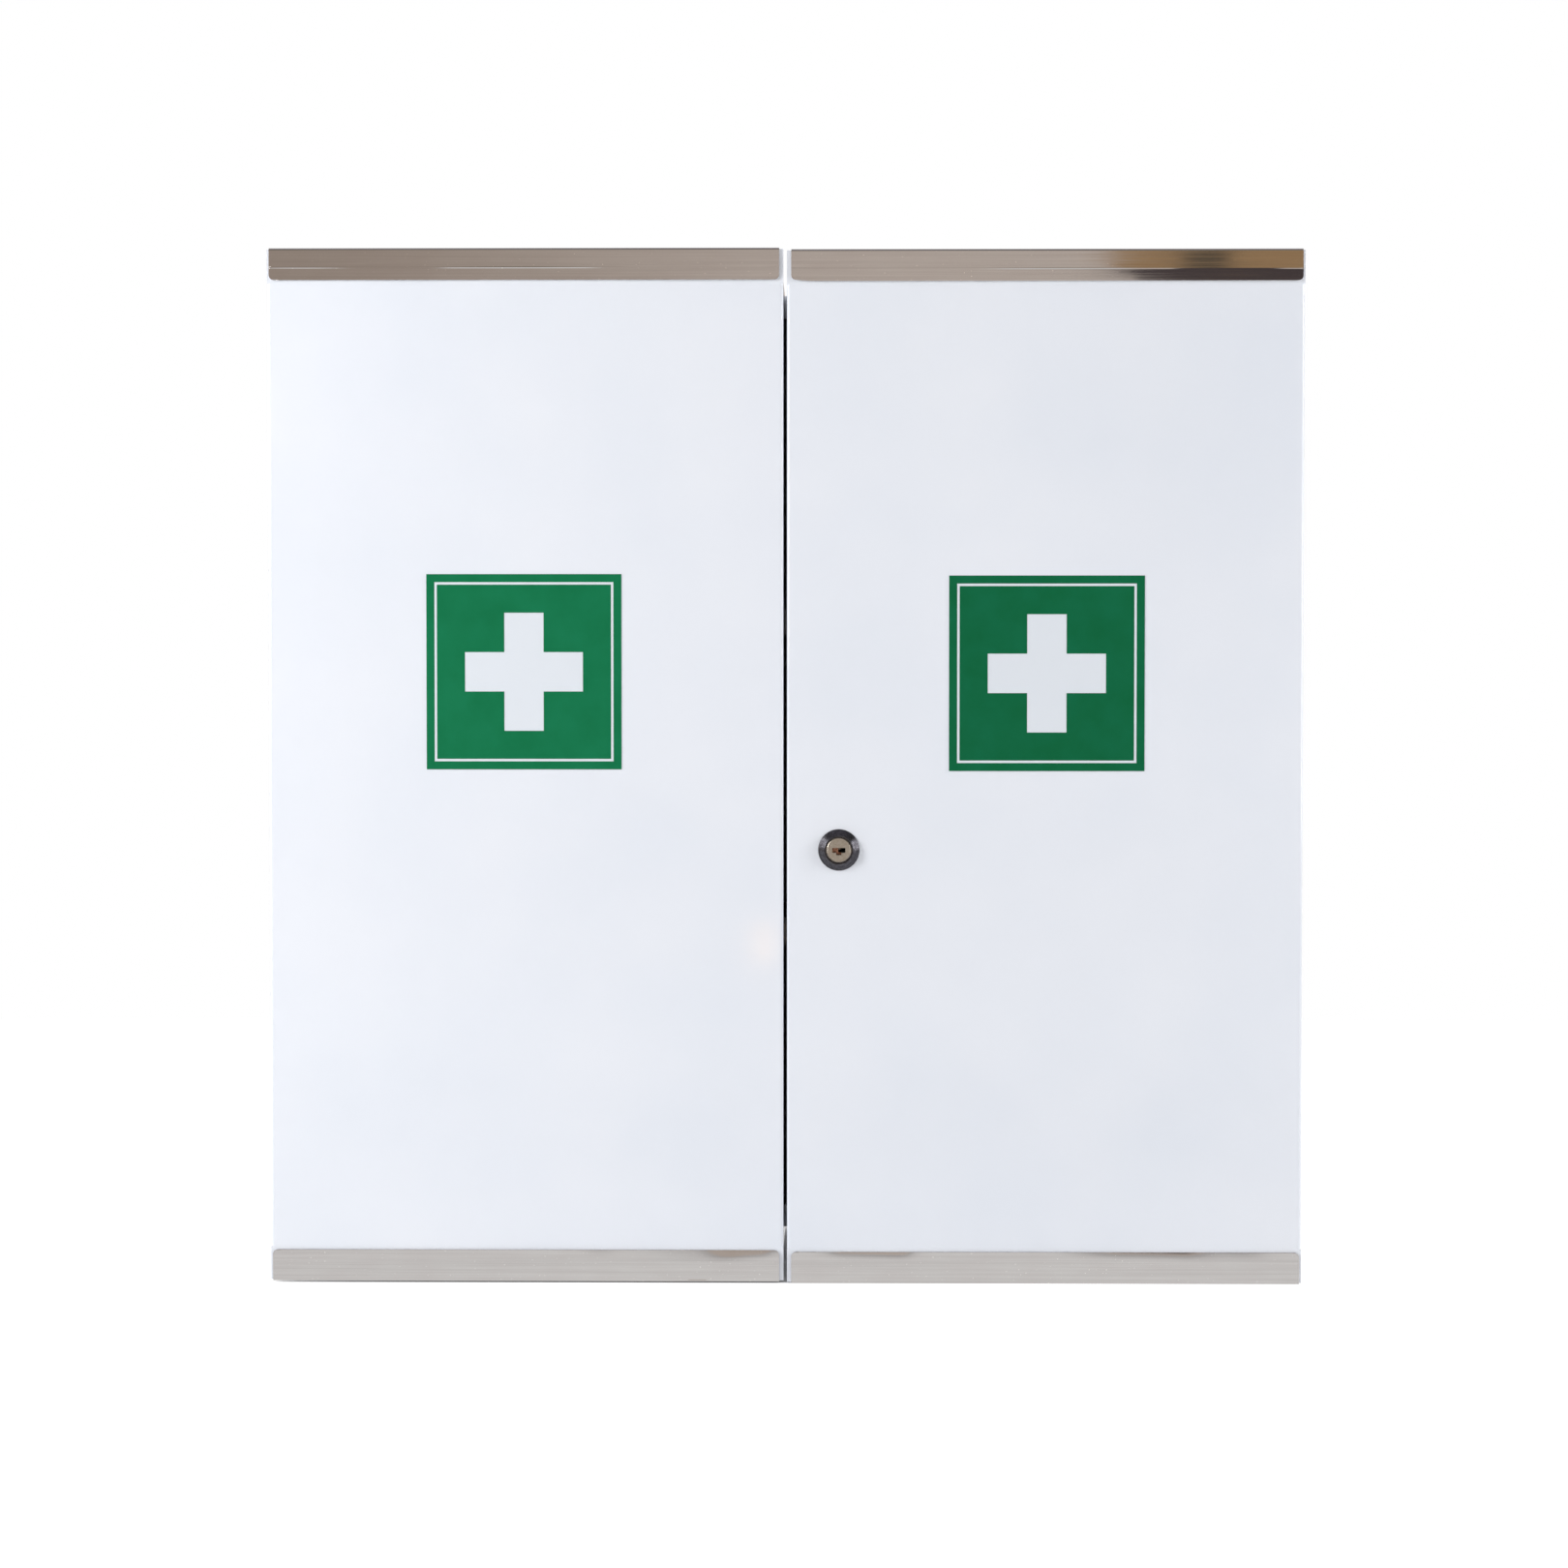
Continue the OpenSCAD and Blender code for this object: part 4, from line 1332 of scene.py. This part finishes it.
@dataclass
class Fittings:
    """Rivets, magnetic catches, buffers and rails."""

    nodes: dict[str, bpy.types.Object]
    zinc: Finish = BrightZincPlate()
    acetal: Finish = MouldedAcetal()
    rubber: Finish = MouldedRubber()
    pole: Finish = PolePlate()
    stainless: Finish = RolledStainless()
    head_r: float = 3.2
    head_t: float = 0.9
    shank_r: float = 1.6
    pull_hole_r: float = 0.7
    blind_r: float = 2.32
    shelf_grip: float = 2.0
    keeper_grip: float = 2.5
    buffer_r: float = 4.0
    buffer_wall: float = 0.35
    magnet_w: float = 20.0
    magnet_h: float = 5.0
    magnet_play: float = 0.4
    pole_t: float = 1.0
    pole_shift: float = 2.0
    ferrite_t: float = 2.8
    ferrite_sunk: float = 0.4
    case_corner: float = 1.2
    case_edge: float = 0.5

    def build(self) -> None:
        """Builds what is fastened to the carcase and dresses the rails."""
        self.build_shelf_rivets()
        self.build_keeper_rivets()
        self.build_catches()
        self.build_buffers()
        for side in Side:
            dress(self.nodes[f"{side.word}_door_rails"], self.stainless)

    def rivet(self, grip: float) -> bpy.types.Mesh:
        """Forms a pop rivet round Y, its domed head out of the face at the origin."""
        r, t, s = self.head_r, self.head_t, self.shank_r
        dome = [(r * x, t * z) for x, z in arc(0.0, math.pi / 2, 6)[:-1]]
        hole, blind = self.pull_hole_r, self.blind_r
        profile = dome + [(hole + 0.05, t), (hole, t - 0.5), (0.0, t - 0.5)]
        profile += [(0.0, -grip - t), (s * 1.1, -grip - t), (blind, -grip - t * 0.5), (blind, -grip),
                    (s, -grip), (s, 0.0)]
        return lathe("rivet", profile[::-1], 32)

    def build_shelf_rivets(self) -> None:
        """Sets the rivets through the carcase's sides."""
        low, high = box_of("shelf_rivets")
        rows = [(y, z) for y in (low.y + self.head_r, high.y - self.head_r)
                for z in (low.z + self.head_r, high.z - self.head_r)]
        meshes = []
        for side in Side:
            for y, z in rows:
                mesh = moved(self.rivet(self.shelf_grip), high.x - self.head_t, y, z, turn=90.0, axis="Z")
                meshes.append(mirrored(mesh, side))
        add_piece(merged("shelf_pop_rivets", meshes), self.zinc, Body.CARCASE, "shelf_rivets")

    def build_keeper_rivets(self) -> None:
        """Sets the rivets that hold both keepers on the shelf."""
        low, high = box_of("keeper_rivets")
        keeper_low, keeper_high = box_of("right_keeper")
        middle = (keeper_low.x + keeper_high.x) / 2
        meshes = []
        for side in Side:
            for x in (2 * middle - high.x + self.head_r, high.x - self.head_r):
                mesh = moved(self.rivet(self.keeper_grip), x, (low.y + high.y) / 2,
                             low.z + self.head_t, turn=90.0, axis="X")
                meshes.append(mirrored(mesh, side))
        add_piece(merged("keeper_pop_rivets", meshes), self.zinc, Body.CARCASE, "keeper_rivets")

    def build_catches(self) -> None:
        """Moulds the catch cases and sets a magnet between two pole plates in each."""
        low, high = box_of("catch_cases")
        pole_low, pole_high = box_of("catch_magnets")
        inner = pole_high.x - self.magnet_w / 2
        width = 2 * (high.x - inner)
        height, depth = high.z - low.z, high.y - low.y
        z, pole_z = (low.z + high.z) / 2, (pole_low.z + pole_high.z) / 2
        long, shift, play = pole_high.y - pole_low.y, self.pole_shift, self.magnet_play
        bars = ((-shift, self.pole_t, 0.0), (shift, self.pole_t, 0.0),
                (0.0, self.ferrite_t, self.ferrite_sunk))
        cases, magnets = [], []
        for side in Side:
            window = block(self.magnet_w + play, self.magnet_h + play, 0.3, (0.0, pole_z - z))
            outline = block(width, height, self.case_corner)
            case = plate("case", [outline, window], depth, self.case_edge)
            cases.append(mirrored(moved(case, inner, (low.y + high.y) / 2, z), side))
            for up, tall, sunk in bars:
                bar = plate("pole", [block(self.magnet_w, tall, 0.1)], long - sunk, 0.1)
                moved(bar, inner, (pole_low.y + pole_high.y + sunk) / 2, pole_z + up)
                magnets.append(mirrored(bar, side))
        add_piece(merged("catch_case_pair", cases), self.acetal, Body.CARCASE, "catch_cases")
        add_piece(merged("catch_magnet_pair", magnets), self.pole, Body.CARCASE, "catch_magnets")

    def build_buffers(self) -> None:
        """Moulds the domed rubber buffers."""
        low, high = box_of("door_buffers")
        height = high.y - low.y
        r, wall = self.buffer_r, self.buffer_wall
        dome = [(r * x, height * (wall + (1.0 - wall) * z)) for x, z in arc(0.0, math.pi / 2, 6)[:-1]]
        profile = [(0.0, 0.0), (r, 0.0), *dome, (0.0, height)]
        catch = box_of("catch_magnets")[1].x - self.magnet_w / 2
        meshes = []
        for side in Side:
            for x in (catch, high.x - r):
                mesh = moved(lathe("buffer", profile, 32), x, high.y, (low.z + high.z) / 2)
                meshes.append(mirrored(mesh, side))
        add_piece(merged("rubber_buffers", meshes), self.rubber, Body.CARCASE, "door_buffers")


@dataclass
class PhotoCamera:
    """The camera at the photograph's viewing angle."""

    place: tuple[float, float, float] = (0.0236, -2.100, 0.0535)
    tilt_down: float = 1.877
    turn_left: float = 0.730
    lens: float = 85.17
    sensor: float = 36.0

    def build(self) -> None:
        """Adds the camera and makes it the scene's."""
        data = bpy.data.cameras.new("photo_camera")
        data.lens = self.lens
        data.sensor_width = self.sensor
        camera = bpy.data.objects.new("photo_camera", data)
        camera.location = self.place
        camera.rotation_euler = (math.radians(90.0 - self.tilt_down), 0.0, math.radians(self.turn_left))
        bpy.context.scene.collection.objects.link(camera)
        bpy.context.scene.camera = camera


@dataclass(frozen=True)
class Softbox:
    """A diffused lamp that points at the cabinet."""

    name: str
    place: tuple[float, float, float]
    width: float
    height: float
    power: float
    colour: str = "#FFFFFF"

    def build(self) -> None:
        """Hangs the lamp."""
        data = bpy.data.lights.new(self.name, "AREA")
        data.shape = "RECTANGLE"
        data.size = self.width
        data.size_y = self.height
        data.energy = self.power
        data.color = linear(self.colour)[:3]
        lamp = bpy.data.objects.new(self.name, data)
        lamp.location = self.place
        aim = Vector((0.0, -0.2, 0.0)) - Vector(self.place)
        lamp.rotation_euler = aim.to_track_quat("-Z", "Y").to_euler()
        bpy.context.scene.collection.objects.link(lamp)


@dataclass(frozen=True)
class Tone:
    """A tone of the mirrored room that gives way to a second one past some edges.

    Each colour is a hex colour or the name of a tone before it. An edge is the axis of the
    direction, where the change starts and where it ends.
    """

    name: str
    first: str
    second: str
    edges: tuple[tuple[str, float, float], ...]


@dataclass
class Studio:
    """A plain white floor and surround, with a soft lamp on each side and a small one in front.

    The camera sees white, apart from the floor's glow, which is dimmed near and under the cabinet as a
    painted shadow. Shiny surfaces mirror a warm dim room, which is painted from tones, and a floor that
    fades towards it.
    """

    floor_side: float = 2.4
    floor_glow: float = 0.78
    floor_paint: str = "#C2C2C2"
    floor_plain: str = "#F4F4F4"
    floor_mirrored: tuple[float, float] = (0.97, 0.62)
    floor_fade: tuple[float, float] = (-0.36, -0.75)
    contact: float = 120.0
    # Ambient occlusion range over which the floor's glow is darkened: a painted shadow.
    painted_shade_range: tuple[float, float] = (0.05, 0.45)
    ambient: float = 0.42
    room: tuple[Tone, ...] = (
        Tone("sweep", "#FFFFFF", "#F0F0F0", (("X", -0.15, 0.1),)),
        Tone("wall", "#B9ABA0", "#DDD2C9", (("X", -0.15, 0.03),)),
        Tone("sweep_and_wall", "sweep", "wall", (("Z", -0.11, -0.075),)),
        Tone("lit_corner", "#B4946F", "#6B5F50", (("X", 0.09, 0.094), ("X", 0.108, 0.104))),
        Tone("corner", "#564D4E", "lit_corner", (("Z", 0.1, 0.12),)),
        Tone("walls", "sweep_and_wall", "corner", (
            ("X", 0.072, 0.075), ("X", 0.22, 0.2), ("Z", -0.01, 0.02), ("Z", 0.35, 0.3),
            ("Y", 0.0, -0.1))),
        Tone("ceiling", "#6E6A5E", "#BEBAC1", (("Z", 0.6, 1.0),)),
        Tone("whole_room", "walls", "ceiling", (("Z", 0.2, 0.55),)),
    )
    lamps: tuple[Softbox, ...] = (
        Softbox("left_softbox", (-1.2, -0.85, 0.45), 0.35, 0.8, 14.6),
        Softbox("right_softbox", (1.3, -0.62, 0.3), 0.35, 0.8, 9.2),
        Softbox("desk_lamp", (-0.0187, -0.6, -0.121), 0.012, 0.024, 0.005, "#FFBC50"),
    )

    def build(self, low: Vector) -> None:
        """Builds the floor, the surround and the lamps.

        Args:
            low: Lowest corner of the cabinet, which stands on the floor.
        """
        bpy.context.scene.view_settings.view_transform = "Standard"
        self.build_floor(low.z)
        self.build_world()
        for lamp in self.lamps:
            lamp.build()

    @staticmethod
    def by_ray(tree: bpy.types.NodeTree, seen: bpy.types.Node, mirrored_light: bpy.types.Node,
               other: bpy.types.Node) -> bpy.types.NodeSocket:
        """Shows rays of different kinds different shaders.

        Args:
            tree: The tree of the floor or the world.
            seen: What the camera sees, straight or through glass.
            mirrored_light: What glossy surfaces mirror.
            other: What lights everything else.

        Returns:
            The socket that carries the shader.
        """
        rays = add_node(tree, "ShaderNodeLightPath")
        direct = add_node(tree, "ShaderNodeMath", {
            0: rays.outputs["Is Camera Ray"], 1: rays.outputs["Is Transmission Ray"]},
            operation="MAXIMUM")
        first = add_node(tree, "ShaderNodeMixShader", {
            0: rays.outputs["Is Glossy Ray"], 1: other.outputs[0], 2: mirrored_light.outputs[0]})
        second = add_node(tree, "ShaderNodeMixShader", {
            0: direct.outputs[0], 1: first.outputs[0], 2: seen.outputs[0]})
        return second.outputs[0]

    def build_floor(self, level: float) -> None:
        """Lays the floor, which looks white to the camera; its glow is dimmed by ambient occlusion near
        and under the cabinet, a painted shadow, over the real soft shadow of its faint paint.
        """
        work = bmesh.new()
        bmesh.ops.create_grid(work, x_segments=8, y_segments=8, size=self.floor_side / 2)
        floor = bpy.data.objects.new("floor", to_mesh("floor", work))
        floor.location.z = level
        bpy.context.scene.collection.objects.link(floor)
        floor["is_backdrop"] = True
        material = bpy.data.materials.new("white_floor")
        material.use_nodes = True
        tree = material.node_tree
        tree.nodes.clear()
        # Ambient occlusion dims the floor's glow near and under the cabinet: painted shadow, not light
        # that is blocked.
        painted_shade_occlusion = add_node(tree, "ShaderNodeAmbientOcclusion", {"Distance": mm(self.contact)}, samples=8)
        glow = add_node(tree, "ShaderNodeMapRange", {
            "Value": painted_shade_occlusion.outputs["AO"], "From Min": self.painted_shade_range[0],
            "From Max": self.painted_shade_range[1], "To Max": self.floor_glow})
        bright = add_node(tree, "ShaderNodeEmission", {"Strength": glow.outputs["Result"]})
        faint = add_node(tree, "ShaderNodeBsdfDiffuse", {"Color": self.floor_paint})
        white = add_node(tree, "ShaderNodeAddShader", {0: bright.outputs[0], 1: faint.outputs[0]})
        place = add_node(tree, "ShaderNodeTexCoord")
        split = add_node(tree, "ShaderNodeSeparateXYZ", {0: place.outputs["Object"]})
        fading = add_node(tree, "ShaderNodeMapRange", {
            "Value": split.outputs["Y"], "From Min": self.floor_fade[0], "From Max": self.floor_fade[1],
            "To Min": self.floor_mirrored[0], "To Max": self.floor_mirrored[1]})
        mirrored_light = add_node(tree, "ShaderNodeEmission", {"Strength": fading.outputs["Result"]})
        plain = add_node(tree, "ShaderNodeBsdfDiffuse", {"Color": self.floor_plain})
        surface = self.by_ray(tree, white, mirrored_light, plain)
        add_node(tree, "ShaderNodeOutputMaterial", {"Surface": surface})
        floor.data.materials.append(material)

    def build_world(self) -> None:
        """Makes the surround: white where it is seen, and a warm dim room in reflections."""
        world = bpy.data.worlds.new("studio")
        bpy.context.scene.world = world
        world.use_nodes = True
        tree = world.node_tree
        tree.nodes.clear()
        seen = add_node(tree, "ShaderNodeBackground", {"Color": "#FFFFFF", "Strength": 1.0})
        lit = add_node(tree, "ShaderNodeBackground", {"Color": "#FFFFFF", "Strength": self.ambient})
        mirrored_light = add_node(tree, "ShaderNodeBackground", {"Color": self.mirrored_room(tree)})
        surface = self.by_ray(tree, seen, mirrored_light, lit)
        add_node(tree, "ShaderNodeOutputWorld", {"Surface": surface})

    def mirrored_room(self, tree: bpy.types.NodeTree) -> bpy.types.NodeSocket:
        """Paints the room's tones over all directions.

        Args:
            tree: The world's tree.

        Returns:
            The socket that carries the colour.
        """
        place = add_node(tree, "ShaderNodeTexCoord")
        split = add_node(tree, "ShaderNodeSeparateXYZ", {0: place.outputs["Generated"]})
        tones = {}
        for tone in self.room:
            share = 1.0
            for axis, start, end in tone.edges:
                edge = add_node(tree, "ShaderNodeMapRange", {
                    "Value": split.outputs[axis], "From Min": start, "From Max": end},
                    interpolation_type="SMOOTHSTEP")
                share = add_node(tree, "ShaderNodeMath", {0: share, 1: edge.outputs["Result"]},
                                 operation="MULTIPLY").outputs[0]
            tones[tone.name] = add_node(tree, "ShaderNodeMix", {
                0: share, 6: tones.get(tone.first, tone.first),
                7: tones.get(tone.second, tone.second)}, data_type="RGBA").outputs[2]
        return tones[self.room[-1].name]


def main() -> None:
    """Builds the cabinet's looks in the order of its assembly."""
    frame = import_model()
    low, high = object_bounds()
    nodes = frame["nodes"]
    PhotoCamera().build()
    PaintedSheets(nodes).build()
    for side in Side:
        Sign(side, nodes).build()
        for end in End:
            GripStrip(side, end).build()
        for level in ("upper", "lower"):
            Hinge(side, level).build()
    CamLock().build()
    SlideBolt(nodes).build()
    Fittings(nodes).build()
    Studio().build(low)


if __name__ == "__main__":
    logging.basicConfig(level=logging.INFO, format="%(name)s: %(message)s")
    main()
